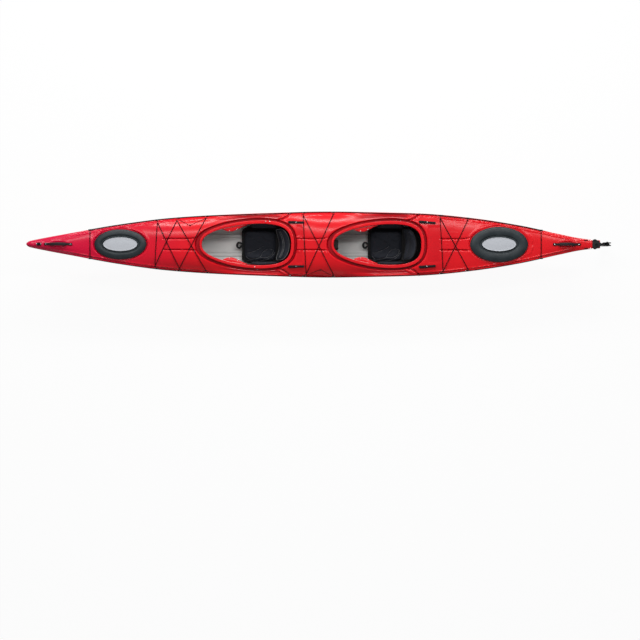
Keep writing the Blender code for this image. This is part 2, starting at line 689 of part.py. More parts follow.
def mesh_from_curve(obj, slot, parent=None):
    """The curve's evaluated shape as a mesh object with its caps welded."""
    bpy.context.view_layer.update()
    graph = bpy.context.evaluated_depsgraph_get()
    data = bpy.data.meshes.new_from_object(obj.evaluated_get(graph))
    data.transform(obj.matrix_world)
    name = obj.name
    bpy.data.objects.remove(obj, do_unlink=True)
    bm = bmesh.new()
    bm.from_mesh(data)
    bmesh.ops.remove_doubles(bm, verts=bm.verts, dist=0.00002)
    bmesh.ops.recalc_face_normals(bm, faces=bm.faces)
    bm.to_mesh(data)
    bm.free()
    data.materials.clear()
    return add_object(name, data, slot, parent)


def tube(name, route, radius, slot, parent=None):
    """A round cord or rod along a route of points, with flat closed ends."""
    curve = bpy.data.curves.new(name, "CURVE")
    curve.dimensions = "3D"
    curve.bevel_depth = radius
    curve.bevel_resolution = 2
    curve.use_fill_caps = True
    spline = curve.splines.new("POLY")
    spline.points.add(len(route) - 1)
    for point, place in zip(spline.points, route):
        point.co = (*place, 1)
    return add_object(name, curve, slot, parent)


def rod(name, start, end, radius, slot, parent=None, sides=16):
    """A plain round bar between two points."""
    start, end = Vector(start), Vector(end)
    bm = bmesh.new()
    bmesh.ops.create_cone(
        bm, cap_ends=True, segments=sides, radius1=radius, radius2=radius,
        depth=(end - start).length,
    )
    turn = Vector((0, 0, 1)).rotation_difference(end - start).to_matrix().to_4x4()
    bmesh.ops.transform(bm, matrix=Matrix.Translation((start + end) / 2) @ turn, verts=bm.verts)
    data = bpy.data.meshes.new(name)
    bm.to_mesh(data)
    bm.free()
    return add_object(name, data, slot, parent)


def on_deck(x, y, lift):
    return (x, y, float(deck_height(x, y)) + lift)


def line_station_points(start, end):
    """Stations of the hull between two X values, so that a line follows its facets."""
    xs, _ = stations()
    return [start] + [x for x in xs if start + 0.02 < x < end - 0.02] + [end]


def edge_frame(x, side):
    """A place on the deck's outermost facet, and the facet's outward normal there."""
    outer, inner = edge_half_width(x), edge_half_width(x) * deck_stops()[-2]
    low, high = smooth_curve(SHEER, x), deck_height(x, inner)
    y, z = outer + EYE_INSET * (inner - outer), low + EYE_INSET * (high - low)
    normal = Vector((0, side * (high - low), outer - inner)).normalized()
    return Vector((x, side * float(y), float(z))), normal


def edge_block(name, x, side, length, width, lift, height, slot):
    """A small block that lies on the deck's edge facet, turned to follow it."""
    rings = []
    for step in (-0.5, 0.5):
        place, normal = edge_frame(x + step * length, side)
        across = normal.cross(Vector((1, 0, 0))).normalized() * width / 2
        base, top = place + normal * lift, place + normal * (lift + height)
        rings.append(np.array([base - across, base + across, top + across, top - across]))
    return loft(name, rings, slot)


def make_perimeter_line(name, side):
    """The safety line along one edge of the deck, joined to the deck eyes that hold it."""
    first, last = DECK_EYES[0][0], DECK_EYES[-1][0]
    lift = LINE_RADIUS + 0.0016
    route = []
    for x in line_station_points(first - 0.012, last + 0.012):
        place, normal = edge_frame(x, side)
        route.append(place + normal * lift)
    pieces = [mesh_from_curve(tube(f"{name}_cord", route, LINE_RADIUS, "cord"), "cord")]
    length, width, height = EYE_SIZE
    for index, (x, _) in enumerate(DECK_EYES):
        pieces.append(edge_block(f"{name}_eye_{index}", x, side, length, width, 0.0011, height, "cord"))
    joined(name, pieces, "cord")


def deck_run(start, end, lift, steps, hump=0.0):
    """Points of a taut cord over the deck between two places, with a hump at its middle."""
    points = []
    for i in range(steps + 1):
        t = i / steps
        x = start[0] + (end[0] - start[0]) * t
        y = start[1] + (end[1] - start[1]) * t
        over = hump * max(0.0, 1 - abs(t - 0.5) / 0.2)
        points.append(on_deck(x, y, lift + over))
    return points


def eye_corner(index, side, shift=0.0):
    """Where a deck cord turns, just inboard of a deck eye."""
    x, _ = DECK_EYES[index]
    return x + shift, side * (float(edge_half_width(x + shift)) - 0.026)


def make_lacing(name, eyes):
    """Elastic cord laced over the deck; eyes are (index, side, shift) in order.

    The second of two crossing runs passes over the first in a low hump.
    """
    corners = [eye_corner(*eye) for eye in eyes]
    lift = LINE_RADIUS + 0.0034
    route = []
    for run, (start, end) in enumerate(zip(corners, corners[1:])):
        slanted = abs(end[0] - start[0]) > 0.05
        hump = 0.009 if slanted and run >= len(corners) // 2 else 0.0
        points = deck_run(start, end, lift, 8, hump)
        route += points if not route else points[1:]
    tube(name, route, LINE_RADIUS, "cord")


def make_deck_cords():
    """Bow and stern lines, and the elastic lacings in front of and behind each cockpit."""
    make_lacing("bow_deck_line", [(0, -1, 0), (0, 1, 0)])
    make_lacing("front_deck_lacing", [
        (3, 1, -0.012), (2, -1, 0.012), (1, 1, 0.012), (1, -1, -0.012), (2, 1, -0.012),
        (3, -1, -0.012),
    ])
    make_lacing("middle_deck_lacing", [(5, 1, 0), (4, -1, 0.018), (4, 1, -0.012), (5, -1, 0)])
    make_lacing("aft_deck_lacing", [(7, 1, 0), (6, -1, 0.018), (6, 1, -0.012), (7, -1, 0)])
    make_lacing("stern_deck_line", [(8, -1, 0), (8, 1, 0)])


def make_carry_handle(name, start, end):
    """A webbing strap screwed down at both ends, arched and thickened into a hand grip."""
    length = end - start
    rings = []
    for along in np.linspace(0, 1, 13):
        x = start + length * along
        bulge = math.sin(math.pi * np.clip((along - 0.15) / 0.7, 0, 1))
        half_width = 0.011 + 0.004 * bulge
        thick = 0.004 + 0.012 * bulge
        z = float(deck_height(x, 0)) + 0.0015 + 0.017 * bulge**0.7
        turn = np.linspace(0, 2 * math.pi, 10, endpoint=False)
        y = half_width * np.sign(np.cos(turn)) * np.abs(np.cos(turn)) ** 0.6
        height = z + thick / 2 * (1 + np.sign(np.sin(turn)) * np.abs(np.sin(turn)) ** 0.6)
        rings.append(points_at(np.full(10, x), y, height))
    loft(name, rings, "webbing")


def make_deck_strap(name, start, end, side, slant):
    """A short moulded strap held by one screw beside the back of a cockpit."""
    rings = []
    for along in np.linspace(0, 1, 6):
        x = start + (end - start) * along
        y = side * (0.212 + slant * (0.5 - along))
        z = float(deck_height(x, abs(y))) + 0.0030
        half, thick = (0.011, 0.009) if along < 0.45 else (0.008, 0.007)
        section_y = np.array([-half, half, half, -half]) + y
        section_z = np.array([0, 0, thick, thick]) + z
        rings.append(points_at(np.full(4, x), section_y, section_z))
    loft(name, rings, "fitting_plastic")


def make_thigh_brace(name, cockpit, side):
    """A plate under the rim that bulges into the opening for the paddler's thigh."""
    spec = COCKPITS[cockpit]
    start = spec["centre"] - 0.225
    length = 0.225
    rings = []
    for along in np.linspace(0, 1, 9):
        x = start + length * along
        outer = float(egg_half_width(cockpit, x)) - 0.0025
        inner = outer - 0.010 - 0.030 * math.sin(math.pi * along) ** 1.5
        z = float(smooth_curve(CROWN, x)) - 0.013
        section_y = side * np.array([outer, outer, inner, inner - 0.002])
        section_z = np.array([z - 0.006, z, z - 0.004, z - 0.016])
        rings.append(points_at(np.full(4, x), section_y, section_z))
    loft(name, rings, "hull_red")


def rail_line(seat, side):
    """The rail's two end places on the hull's inner side, as vectors."""
    ends = []
    for x, z in FOOT_RAILS[seat]:
        across = inner_side(x, z - RAIL_HEIGHT / 2) - 0.0015 - RAIL_DEPTH / 2
        ends.append(Vector((x, side * across, z)))
    return ends


def beam_between(name, start, end, depth, height, slot, parent=None):
    """A straight bar of rectangular section between two points."""
    along = (end - start).normalized()
    across = along.cross(Vector((0, 0, 1))).normalized() * depth / 2
    up = across.cross(along).normalized() * height / 2
    if up.z < 0:
        up = -up
    corners = [(-1, -1), (1, -1), (1, 1), (-1, 1)]
    rings = [
        np.array([place + across * a + up * b for a, b in corners]) for place in (start, end)
    ]
    return loft(name, rings, slot, parent)


def make_foot_rail(seat, side_name, side):
    """The rail screwed to the hull's side, and the peg that slides along it."""
    start, end = rail_line(seat, side)
    beam_between(f"{seat}_{side_name}_foot_rail", start, end, RAIL_DEPTH, RAIL_HEIGHT, "rail_metal")
    middle = start.lerp(end, PEG_ALONG[seat])
    direction = (end - start).normalized()
    inboard = Vector((0, -side, 0))
    empty = pivot_empty(f"{seat}_{side_name}_peg_slide", middle)
    face = RAIL_DEPTH / 2 + 0.0006
    foot = middle + inboard * (face + 0.006)
    name = f"{seat}_{side_name}_foot_peg"
    carriage = beam_between(
        f"{name}_carriage", foot - direction * 0.035, foot + direction * 0.035, 0.011, 0.024,
        "fitting_plastic",
    )
    room = inner_side(foot.x, foot.z - PEG_PAD_HALF_HEIGHT) - 0.006
    outer = min(abs(foot.y) - 0.003, room)
    across = sorted((side * outer, side * (outer - PEG_PAD_WIDTH)))
    low = (foot.x - 0.006, across[0], foot.z - PEG_PAD_HALF_HEIGHT)
    high = (foot.x + 0.012, across[1], foot.z + PEG_PAD_HALF_HEIGHT)
    pad = make_box(f"{name}_pad", low, high, "fitting_plastic")
    joined(name, [carriage, pad], "fitting_plastic", empty)


def make_pull_strap(seat):
    """The small strap loop in front of the seat cushion."""
    front = SEAT_FRONT_EDGE[seat] - 0.0155
    floor = float(seat_floor_line(seat, 0)) + 0.006
    route = [
        (front + 0.004, -0.022, floor), (front - 0.022, -0.028, floor + 0.012),
        (front - 0.046, -0.012, floor + 0.020), (front - 0.050, 0.010, floor + 0.020),
        (front - 0.026, 0.026, floor + 0.012), (front + 0.004, 0.022, floor),
    ]
    tube(f"{seat}_seat_pull_strap", route, 0.0045, "webbing")


def conduit_route(side):
    """Places of a steering cable's tube along the inside of the hull, aft to the stern."""
    route = []
    for x in np.linspace(0.090, 2.500, 14):
        z = 0.150 + 0.120 * smooth_step((x - 0.2) / 2.3)
        y = max(inner_side(x, z) - 0.010, 0.010)
        route.append((x, side * y, z))
    return route


def make_steering_conduit(side_name, side):
    """Plastic tube that leads a steering cable from the rear footrest to the stern."""
    tube(f"{side_name}_steering_conduit", conduit_route(side), CONDUIT_RADIUS, "fitting_plastic")


def bore_for_conduits(bulkhead):
    """Two holes through the rear bulkhead for the steering tubes."""
    start = BULKHEADS["rear_bulkhead"] - 0.020
    end = start + BULKHEAD_THICK + 0.040
    for side_name, side in (("port", -1), ("starboard", 1)):
        xs, ys, zs = np.array(conduit_route(side)).T
        ends = [(x, np.interp(x, xs, ys), np.interp(x, xs, zs)) for x in (start, end)]
        cutter = rod(f"{side_name}_conduit_bore", *ends, CONDUIT_RADIUS + 0.0008, "steel")
        cut_out(bulkhead, cutter)


def cut_out(obj, cutter):
    """Cuts the cutter's shape out of an object and keeps the cutter aside, unrendered."""
    for collection in list(cutter.users_collection):
        collection.objects.unlink(cutter)
    bpy.data.collections["Cutters"].objects.link(cutter)
    cutter.hide_render = True
    cutter.display_type = "WIRE"
    cut = obj.modifiers.new(cutter.name, "BOOLEAN")
    cut.operation = "DIFFERENCE"
    cut.object = cutter


def smooth_step(t):
    t = min(max(t, 0.0), 1.0)
    return t * t * (3 - 2 * t)


def make_bow_fitting():
    """The small moulded tow fitting ahead of the bow handle, with its upright ring."""
    x = -2.626
    z = float(deck_height(x, 0)) + 0.003
    base = make_box("bow_fitting_base", (x - 0.026, -0.016, z), (x + 0.024, 0.016, z + 0.010),
                    "fitting_plastic")
    post = rod("bow_fitting_post", (x - 0.010, 0, z + 0.006), (x - 0.018, 0, z + 0.026), 0.006,
               "fitting_plastic", sides=10)
    joined("bow_tow_fitting", [base, post], "fitting_plastic")


def make_rudder_mount():
    """Fixed on the stern deck: a base plate with the upright pin that the yoke turns on."""
    deck = float(smooth_curve(CROWN, STEER_X)) + 0.0012
    base = make_box("mount_base", (2.672, -0.026, deck), (2.742, 0.026, deck + 0.003), "steel")
    pin = rod("mount_pin", (STEER_X, 0, deck + 0.001), (STEER_X, 0, deck + 0.0300), 0.0045, "steel")
    joined("rudder_mount_pin", [base, pin], "steel")
    return deck + 0.003


def make_rudder_yoke(bottom, parent):
    """The steering arms and hub, bored for the mount's pin, open above and below."""
    outline = (
        (2.677, -0.012), (2.684, -0.044), (2.694, -YOKE_HALF_WIDTH), (2.708, -YOKE_HALF_WIDTH),
        (2.762, -0.010), (2.762, 0.010), (2.708, YOKE_HALF_WIDTH), (2.694, YOKE_HALF_WIDTH),
        (2.684, 0.044), (2.677, 0.012),
    )
    low = bottom + 0.0006
    arms = prism("yoke_arms", outline, low, low + 0.010, "Z", "rudder_plastic")
    hub = rod("yoke_hub", (STEER_X, 0, low + 0.002), (STEER_X, 0, low + 0.0235), 0.016,
              "rudder_plastic", sides=24)
    yoke = joined("yoke_solid", [arms, hub], "rudder_plastic")
    cut_out(yoke, rod("yoke_bore", (STEER_X, 0, low - 0.01), (STEER_X, 0, low + 0.05), 0.0052, "steel"))
    yoke.name = "rudder_yoke"
    yoke.parent = parent
    yoke.matrix_parent_inverse = Matrix.Translation(parent.location).inverted()
    return low


def make_rudder_head(low, parent):
    """The neck behind the yoke and the two cheeks that hold the blade between them."""
    neck_outline = (
        (2.7623, low - 0.002), (2.7623, low + 0.024), (2.786, 0.430), (2.789, 0.430),
        (2.789, 0.284), (2.786, 0.284),
    )
    neck = prism("head_neck", neck_outline, -0.010, 0.010, "Y", "rudder_plastic")
    cheek_outline = (
        (2.774, 0.352), (2.776, 0.410), (2.789, 0.4335), (2.831, 0.4359), (2.852, 0.418),
        (2.857, 0.346), (2.858, 0.325), (2.836, 0.303), (2.833, 0.284), (2.785, 0.284),
    )
    cheeks = [
        prism(f"head_cheek_{i}", cheek_outline, a, b, "Y", "rudder_plastic")
        for i, (a, b) in enumerate(((-CHEEK_OUTER, -CHEEK_INNER), (CHEEK_INNER, CHEEK_OUTER)))
    ]
    head = joined("rudder_head", [neck] + cheeks, "rudder_plastic")
    bore = rod("pivot_bore", (PIVOT[0], -0.03, PIVOT[1]), (PIVOT[0], 0.03, PIVOT[1]), 0.0063, "steel")
    cut_out(head, bore)
    head.parent = parent
    head.matrix_parent_inverse = Matrix.Translation(parent.location).inverted()
    return bore


def make_rudder_blade(bore, parent):
    """The blade: a round hub on the pivot, a shank and a blade that widens to its tip."""
    hub = [
        (PIVOT[0] + 0.020 * math.cos(a), PIVOT[1] + 0.020 * math.sin(a))
        for a in np.linspace(math.radians(160), math.radians(20), 9)
    ]
    outline = [(2.7965, 0.300), (2.7955, 0.340)] + hub + [
        (2.8365, 0.300), (2.8390, 0.250), (2.8560, 0.185), (2.8735, 0.140), (2.8700, 0.000),
        (2.8660, -0.105), (2.8540, -0.119), (2.8360, BLADE_TIP), (2.7960, -0.116), (2.7910, 0.120),
        (2.7920, 0.220),
    ]
    blade = prism("rudder_blade", outline, -BLADE_THICK / 2, BLADE_THICK / 2, "Y", "rudder_plastic", parent)
    cut_out(blade, bore)


def make_rudder():
    """Mount, yoke, head, blade and pivot bolt, on their two joint axes."""
    steering = pivot_empty("rudder_steering_axis", (STEER_X, 0, 0.37))
    lifting = pivot_empty("rudder_lift_axis", (PIVOT[0], 0, PIVOT[1]))
    low = make_rudder_yoke(make_rudder_mount(), steering)
    bore = make_rudder_head(low, steering)
    make_rudder_blade(bore, lifting)
    shaft = rod("bolt_shaft", (PIVOT[0], -0.0190, PIVOT[1]), (PIVOT[0], 0.0190, PIVOT[1]), 0.0058, "steel")
    heads = [
        rod(f"bolt_head_{side}", (PIVOT[0], side * 0.0171, PIVOT[1]),
            (PIVOT[0], side * 0.0215, PIVOT[1]), 0.0100, "steel", sides=6 if side > 0 else 16)
        for side in (-1, 1)
    ]
    joined("rudder_pivot_bolt", [shaft] + heads, "steel", steering)


def main():
    clear_scene()
    new_collection("SeaKayak")
    cutters = new_collection("Cutters")
    cutters.hide_render = True
    for name, first, last in HULL_LENGTHS:
        make_hull_length(name, range(first, last + 1))
    walls = [make_bulkhead(name, x, BULKHEAD_THICK) for name, x in BULKHEADS.items()]
    bore_for_conduits(walls[1])
    make_pillar()
    for hatch, spec in HATCHES.items():
        make_hatch(hatch, pivot_empty(f"{hatch}_lift", (spec["centre"], 0, spec["height"])))
    for seat in ("front", "rear"):
        make_seat_pan(seat)
        make_cushion(seat)
        hinge_x, hinge_z = backband_hinge(seat)
        make_backband(seat, pivot_empty(f"{seat}_backband_hinge", (hinge_x, 0, hinge_z)))
        make_pull_strap(seat)
        for side_name, side in (("port", -1), ("starboard", 1)):
            make_thigh_brace(f"{seat}_{side_name}_thigh_brace", f"{seat}_cockpit", side)
            make_foot_rail(seat, side_name, side)
            start, end, slant = DECK_STRAPS[seat]
            make_deck_strap(f"{seat}_{side_name}_deck_strap", start, end, side, slant)
    for side_name, side in (("port", -1), ("starboard", 1)):
        make_perimeter_line(f"{side_name}_perimeter_line", side)
        make_steering_conduit(side_name, side)
    make_deck_cords()
    make_carry_handle("bow_carry_handle", -2.575, -2.312)
    make_carry_handle("stern_carry_handle", 2.302, 2.565)
    make_bow_fitting()
    make_rudder()


main()
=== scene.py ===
"""Two-seat sea kayak, red above and below with a pale inside, seen from straight above.

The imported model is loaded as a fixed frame, and every visible piece is laid over it here.
Metres, +X towards the stern, +Y to starboard, +Z up, X = 0 in the middle of the hull.
"""

import math

import bmesh
import bpy
import numpy as np
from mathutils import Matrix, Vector


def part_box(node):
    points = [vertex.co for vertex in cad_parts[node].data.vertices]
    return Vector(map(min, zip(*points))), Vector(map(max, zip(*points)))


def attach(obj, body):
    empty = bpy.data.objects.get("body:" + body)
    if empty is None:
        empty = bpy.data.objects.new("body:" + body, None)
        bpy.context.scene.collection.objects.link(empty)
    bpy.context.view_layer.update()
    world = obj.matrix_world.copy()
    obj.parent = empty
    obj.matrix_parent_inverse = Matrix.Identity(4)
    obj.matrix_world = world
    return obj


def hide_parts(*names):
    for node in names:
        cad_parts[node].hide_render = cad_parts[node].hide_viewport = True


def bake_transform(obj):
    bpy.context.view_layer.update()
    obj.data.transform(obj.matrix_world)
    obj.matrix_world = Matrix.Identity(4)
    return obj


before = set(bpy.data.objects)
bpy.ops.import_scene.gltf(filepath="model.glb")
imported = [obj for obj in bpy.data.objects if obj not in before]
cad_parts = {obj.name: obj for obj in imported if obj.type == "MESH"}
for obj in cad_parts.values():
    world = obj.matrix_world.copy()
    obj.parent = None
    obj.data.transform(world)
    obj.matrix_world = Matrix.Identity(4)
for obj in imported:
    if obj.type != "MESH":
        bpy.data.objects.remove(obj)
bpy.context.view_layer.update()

SIDES = (("port", -1), ("starboard", 1))
# Points nearer than this are joined into one
WELD = 0.000015

# Hull: half its length, its wall, and how high the gunwale band is below the sheer line
HALF_LENGTH, WALL, BAND = 2.750, 0.005, 0.034
# Values at stations along X: half the beam, and heights of the keel, crown and sheer line
HALF_BEAM = (
    (-2.750, 0.018), (-2.715, 0.030), (-2.626, 0.050), (-2.319, 0.108), (-1.858, 0.191),
    (-1.397, 0.251), (-0.936, 0.283), (-0.398, 0.305), (0.139, 0.318), (0.754, 0.308),
    (1.061, 0.298), (1.522, 0.255), (1.983, 0.183), (2.367, 0.098), (2.550, 0.060),
    (2.674, 0.044), (2.750, 0.038),
)
KEEL = (
    (-2.750, 0.423), (-2.626, 0.289), (-2.473, 0.170), (-2.396, 0.129), (-2.319, 0.107),
    (-2.088, 0.088), (-1.474, 0.041), (-0.706, 0.018), (0.062, 0.003), (0.831, 0.000),
    (1.368, 0.003), (1.983, 0.021), (2.521, 0.038), (2.593, 0.053), (2.702, 0.240),
    (2.750, 0.242),
)
CROWN = (
    (-2.750, 0.446), (-2.690, 0.453), (-2.549, 0.449), (-2.396, 0.440), (-2.200, 0.409),
    (-1.900, 0.388), (-1.660, 0.380), (-1.474, 0.392), (-1.301, 0.397), (-1.090, 0.386),
    (-0.859, 0.340), (-0.706, 0.316), (-0.552, 0.308), (-0.398, 0.310), (-0.245, 0.327),
    (-0.091, 0.350), (0.062, 0.367), (0.216, 0.363), (0.370, 0.337), (0.523, 0.303),
    (0.677, 0.285), (0.831, 0.289), (0.984, 0.308), (1.138, 0.318), (1.291, 0.307),
    (1.445, 0.315), (1.676, 0.320), (1.983, 0.328), (2.136, 0.333), (2.330, 0.354),
    (2.597, 0.360), (2.750, 0.359),
)
SHEER = (
    (-2.750, 0.434), (-2.500, 0.409), (-2.144, 0.382), (-1.511, 0.332), (-1.023, 0.304),
    (-0.584, 0.289), (-0.088, 0.277), (0.190, 0.268), (0.777, 0.272), (1.229, 0.282),
    (1.479, 0.291), (2.187, 0.325), (2.640, 0.351), (2.750, 0.354),
)
# How full the deck's section is: a higher number keeps it flat further out
SHOULDER = (
    (-2.750, 2.5), (-2.100, 2.8), (-1.400, 3.2), (-0.900, 3.6), (-0.160, 4.5), (0.070, 3.4),
    (0.500, 3.8), (1.100, 4.5), (1.300, 3.4), (2.200, 3.0), (2.750, 2.8),
)

# Lengths of hull along X: (start, end, spacing of its stations, what the deck holds there)
ZONES = (
    (-2.750, -2.165, 0.0095, None),
    (-2.165, -1.580, 0.0110, "front_hatch"),
    (-1.580, -1.186, 0.0085, None),
    (-1.186, -0.095, 0.0090, "front_cockpit"),
    (-0.095, 0.072, 0.0085, None),
    (0.072, 1.140, 0.0090, "rear_cockpit"),
    (1.140, 1.455, 0.0085, None),
    (1.455, 2.117, 0.0110, "rear_hatch"),
    (2.117, 2.750, 0.0095, None),
)
# X where the lining begins and ends
CAVITY = (-2.53, 2.56)
# Length of the bow's round nose, and the height that it closes at
NOSE, NOSE_HEIGHT = 0.030, 0.4375
# Two flat ribs on the floor: their inner and outer edge, and how far they stand up
FLOOR_RIB, FLOOR_RIB_HEIGHT = (0.074, 0.102), 0.009

# Cockpits: the opening is an egg, widest behind its middle
COCKPITS = {
    "front_cockpit": {"centre": -0.644, "half_length": 0.428, "half_width": 0.200},
    "rear_cockpit": {"centre": 0.616, "half_length": 0.422, "half_width": 0.196},
}
EGG_SKEW = 0.134
EGG_POWER = 0.85
# How far the rim and the moat reach beyond the opening: at its front, rear and sides
RIM = (0.023, 0.030, 0.032)
MOAT = (0.068, 0.058, 0.057)
MOAT_SLOPE = (0.014, 0.012, 0.010)
MOAT_DEPTH = 0.036
RIM_THICK = 0.010

# Hatches: the lid's outline is an ellipse, and its plane follows the deck
HATCHES = {
    "front_hatch": {"centre": -1.853, "half_length": 0.2487, "half_width": 0.1435,
                    "height": 0.384, "slope": -0.052},
    "rear_hatch": {"centre": 1.784, "half_length": 0.2775, "half_width": 0.1685,
                   "height": 0.329, "slope": 0.030},
}
# Half length and half width of the silver plate on each lid
PLATE_HALF = (0.162, 0.065)

# Seats: a pan hung under the rim, a cushion and a low backband
SEAT_FRONT_EDGE = {"front": -0.686, "rear": 0.537}
SEAT_FLOOR = {"front": 0.055, "rear": 0.040}
# How far the pan reaches ahead of the cushion
SEAT_OVERHANG = 0.010
PAN_LENGTH, PAN_HALF_WIDTH, PAN_WALL, PAN_CORNER = 0.370, 0.176, 0.004, 0.012
CUSHION_LENGTH, CUSHION_WIDTH, CUSHION_THICK = 0.333, 0.334, 0.036
BACKBAND_HALF_WIDTH, BACKBAND_HEIGHT, BACKBAND_THICK = 0.150, 0.185, 0.026
BACKBAND_SWEEP, BACKBAND_LEAN = 0.060, math.radians(34)
# Heights of a backband's two sewn arcs in its middle, and how far they fall 150 mm out
BAND_ARCS, BAND_ARC_FALL = (0.128, 0.106), 0.02
# Padded pieces: the spacing of their faces, and the cloth's pressure and steps
PAD_VOXEL, PAD_PRESSURE, PAD_STEPS = 0.005, 4.0, 20

# Deck fittings along each edge
DECK_EYES = (-2.142, -1.510, -1.299, -1.023, -0.089, 0.191, 1.229, 1.483, 2.187)
# How far in from the sheer line they stand, as a share of the deck's half width
EYE_INSET = 0.0228
# The lines, how far the upper of two crossing runs is lifted, and the slack cords
LINE_RADIUS, LINE_LIFT = 0.0036, 0.0066
SLACK_RADIUS = 0.0019
# Creases that run out from behind each cockpit to the deck's edge, on both sides
CREASES = (
    ((-0.350, 0.234), (-0.318, 0.240), (-0.290, 0.250), (-0.262, 0.266), (-0.240, 0.283),
     (-0.224, 0.301)),
    ((0.915, 0.233), (0.942, 0.239), (0.965, 0.249), (0.985, 0.262), (1.002, 0.278),
     (1.015, 0.293)),
)
# Straps on both sides of a seat: where they start and end along X, and how far they slant
DECK_STRAPS = {"front": (-0.245, -0.088, 0.004), "rear": (1.013, 1.176, 0.012)}
# Pairs of grooves that run fore and aft: their distance from the middle, and their ends
GROOVE_Y = 0.053
GROOVES = ((-1.4355, -1.118), (-0.160, 0.130), (1.2291, 1.500))

# Footrests: X and height of each rail's two screws, on both sides
FOOT_RAILS = {
    "front": ((-1.560, 0.202), (-1.186, 0.178)),
    "rear": ((-0.349, 0.138), (0.013, 0.130)),
}
RAIL_DEPTH, RAIL_HEIGHT = 0.010, 0.026
# Share of the rail's length at which its pedal stands, and the size of the pedal's pad
PEG_ALONG = {"front": 0.52, "rear": 0.55}
PEG_PAD_WIDTH, PEG_PAD_HALF_HEIGHT = 0.072, 0.042

# Screws through the cockpits' rims, seen from above
RIM_SCREWS = ((-0.459, 0.2228), (-0.4225, 0.2228), (-0.5387, -0.2429), (-0.5675, -0.215),
              (0.799, 0.2276), (0.840, 0.2266))

# Walls inside the hull
BULKHEADS = {"front_bulkhead": -1.579, "rear_bulkhead": 1.330}
BULKHEAD_THICK = 0.016
PILLAR_HALF_WIDTH, PILLAR_LOW_TOP = 0.044, 0.326
CONDUIT_RADIUS = 0.004

# Rudder: X of the upright steering axis, and X and height of the blade's pivot
STEER_X = 2.713
PIVOT = (2.817, 0.3927)
BLADE_TIP = -0.122
BLADE_THICK = 0.014
YOKE_HALF_WIDTH = 0.049


# Numbers and curves

def cubic(at, places, values, slopes):
    """Cubics from each place to the next, through the values and with the slopes there."""
    i = np.clip(np.searchsorted(places, at, side="right") - 1, 0, len(places) - 2)
    width = places[i + 1] - places[i]
    t = (at - places[i]) / width
    if values.ndim > 1:
        width, t = width[:, None], t[:, None]
    return (
        values[i] * (1 + 2 * t) * (1 - t) ** 2
        + slopes[i] * width * t * (1 - t) ** 2
        + values[i + 1] * t * t * (3 - 2 * t)
        - slopes[i + 1] * width * t * t * (1 - t)
    )


def smooth_curve(points, x):
    """Cubic through (x, value) points that never overshoots: slopes are harmonic means."""
    px, py = np.array(points, float).T
    rise = np.diff(py) / np.diff(px)
    before, after = rise[:-1], rise[1:]
    same_way = before * after > 0
    total = np.where(same_way, before + after, 1.0)
    inner = np.where(same_way, 2 * before * after / total, 0.0)
    slope = np.concatenate([rise[:1], inner, rise[-1:]])
    return cubic(np.clip(np.asarray(x, float), px[0], px[-1]), px, py, slope)


def ease(value, low, high):
    """0 below low, 1 above high, and an S-curve between them."""
    t = np.clip((value - low) / (high - low), 0, 1)
    return t * t * (3 - 2 * t)


def window(value, low, high, soft):
    """1 between low and high, falling to 0 over the soft width outside them."""
    return ease(value, low - soft, low) * (1 - ease(value, high, high + soft))


def hill(distance, width):
    """Bell curve of height 1: exp(-(distance / width) squared)."""
    return np.exp(-((distance / width) ** 2))


def end_rounding(x):
    """1 along the hull, falling as a quarter circle to 0 at the bow's very tip."""
    return np.sqrt(np.clip(1 - (np.clip(-HALF_LENGTH + NOSE - x, 0, NOSE) / NOSE) ** 2, 0, 1))


def half_beam(x):
    return smooth_curve(HALF_BEAM, x) * end_rounding(x)


def towards_nose(x, height):
    """Heights drawn together at the bow's tip, so that it closes in a round nose."""
    return NOSE_HEIGHT + (height - NOSE_HEIGHT) * (0.25 + 0.75 * end_rounding(x))


def edge_half_width(x):
    """Half the deck's width at the sheer line."""
    return np.maximum(half_beam(x) - 0.0015 * end_rounding(x), 0.0)


def sheer_height(x):
    return towards_nose(x, smooth_curve(SHEER, x))


def deck_height(x, y):
    """Plain deck: flat across the middle, falling over a shoulder to the sheer line."""
    v = np.clip(np.abs(y) / np.maximum(edge_half_width(x), 1e-6), 0, 1)
    sheer = smooth_curve(SHEER, x)
    return sheer + (smooth_curve(CROWN, x) - sheer) * (1 - v ** smooth_curve(SHOULDER, x))


# The deck's moulded detail

def egg(cockpit, angle, grow):
    """Plan points of a cockpit outline grown by front, rear and side, at these angles.

    x = middle - half length cos(a) + EGG_SKEW sin(a)^2, y = half width sin(a)^EGG_POWER.
    """
    front, rear, side = grow
    spec = COCKPITS[cockpit]
    centre = spec["centre"] + (rear - front) / 2
    half_length = spec["half_length"] + (rear + front) / 2
    x = centre - half_length * np.cos(angle) + EGG_SKEW * np.sin(angle) ** 2
    wide = np.sign(np.sin(angle)) * np.abs(np.sin(angle)) ** EGG_POWER
    return x, (spec["half_width"] + side) * wide


def egg_half_width(cockpit, x, grow=(0.0, 0.0, 0.0)):
    """Half width of that outline at x, by inverting the egg's formula; 0 beyond its ends."""
    front, rear, side = grow
    spec = COCKPITS[cockpit]
    shift = (x - spec["centre"] - (rear - front) / 2) / EGG_SKEW
    ratio = (spec["half_length"] + (rear + front) / 2) / EGG_SKEW
    cosine = (-ratio + np.sqrt(np.maximum(ratio**2 - 4 * (shift - 1), 0))) / 2
    return (spec["half_width"] + side) * np.sqrt(np.clip(1 - cosine**2, 0, 1)) ** EGG_POWER


def ellipse(hatch, angle, inset=0.0):
    spec = HATCHES[hatch]
    x = spec["centre"] - (spec["half_length"] - inset) * np.cos(angle)
    return x, (spec["half_width"] - inset) * np.sin(angle)


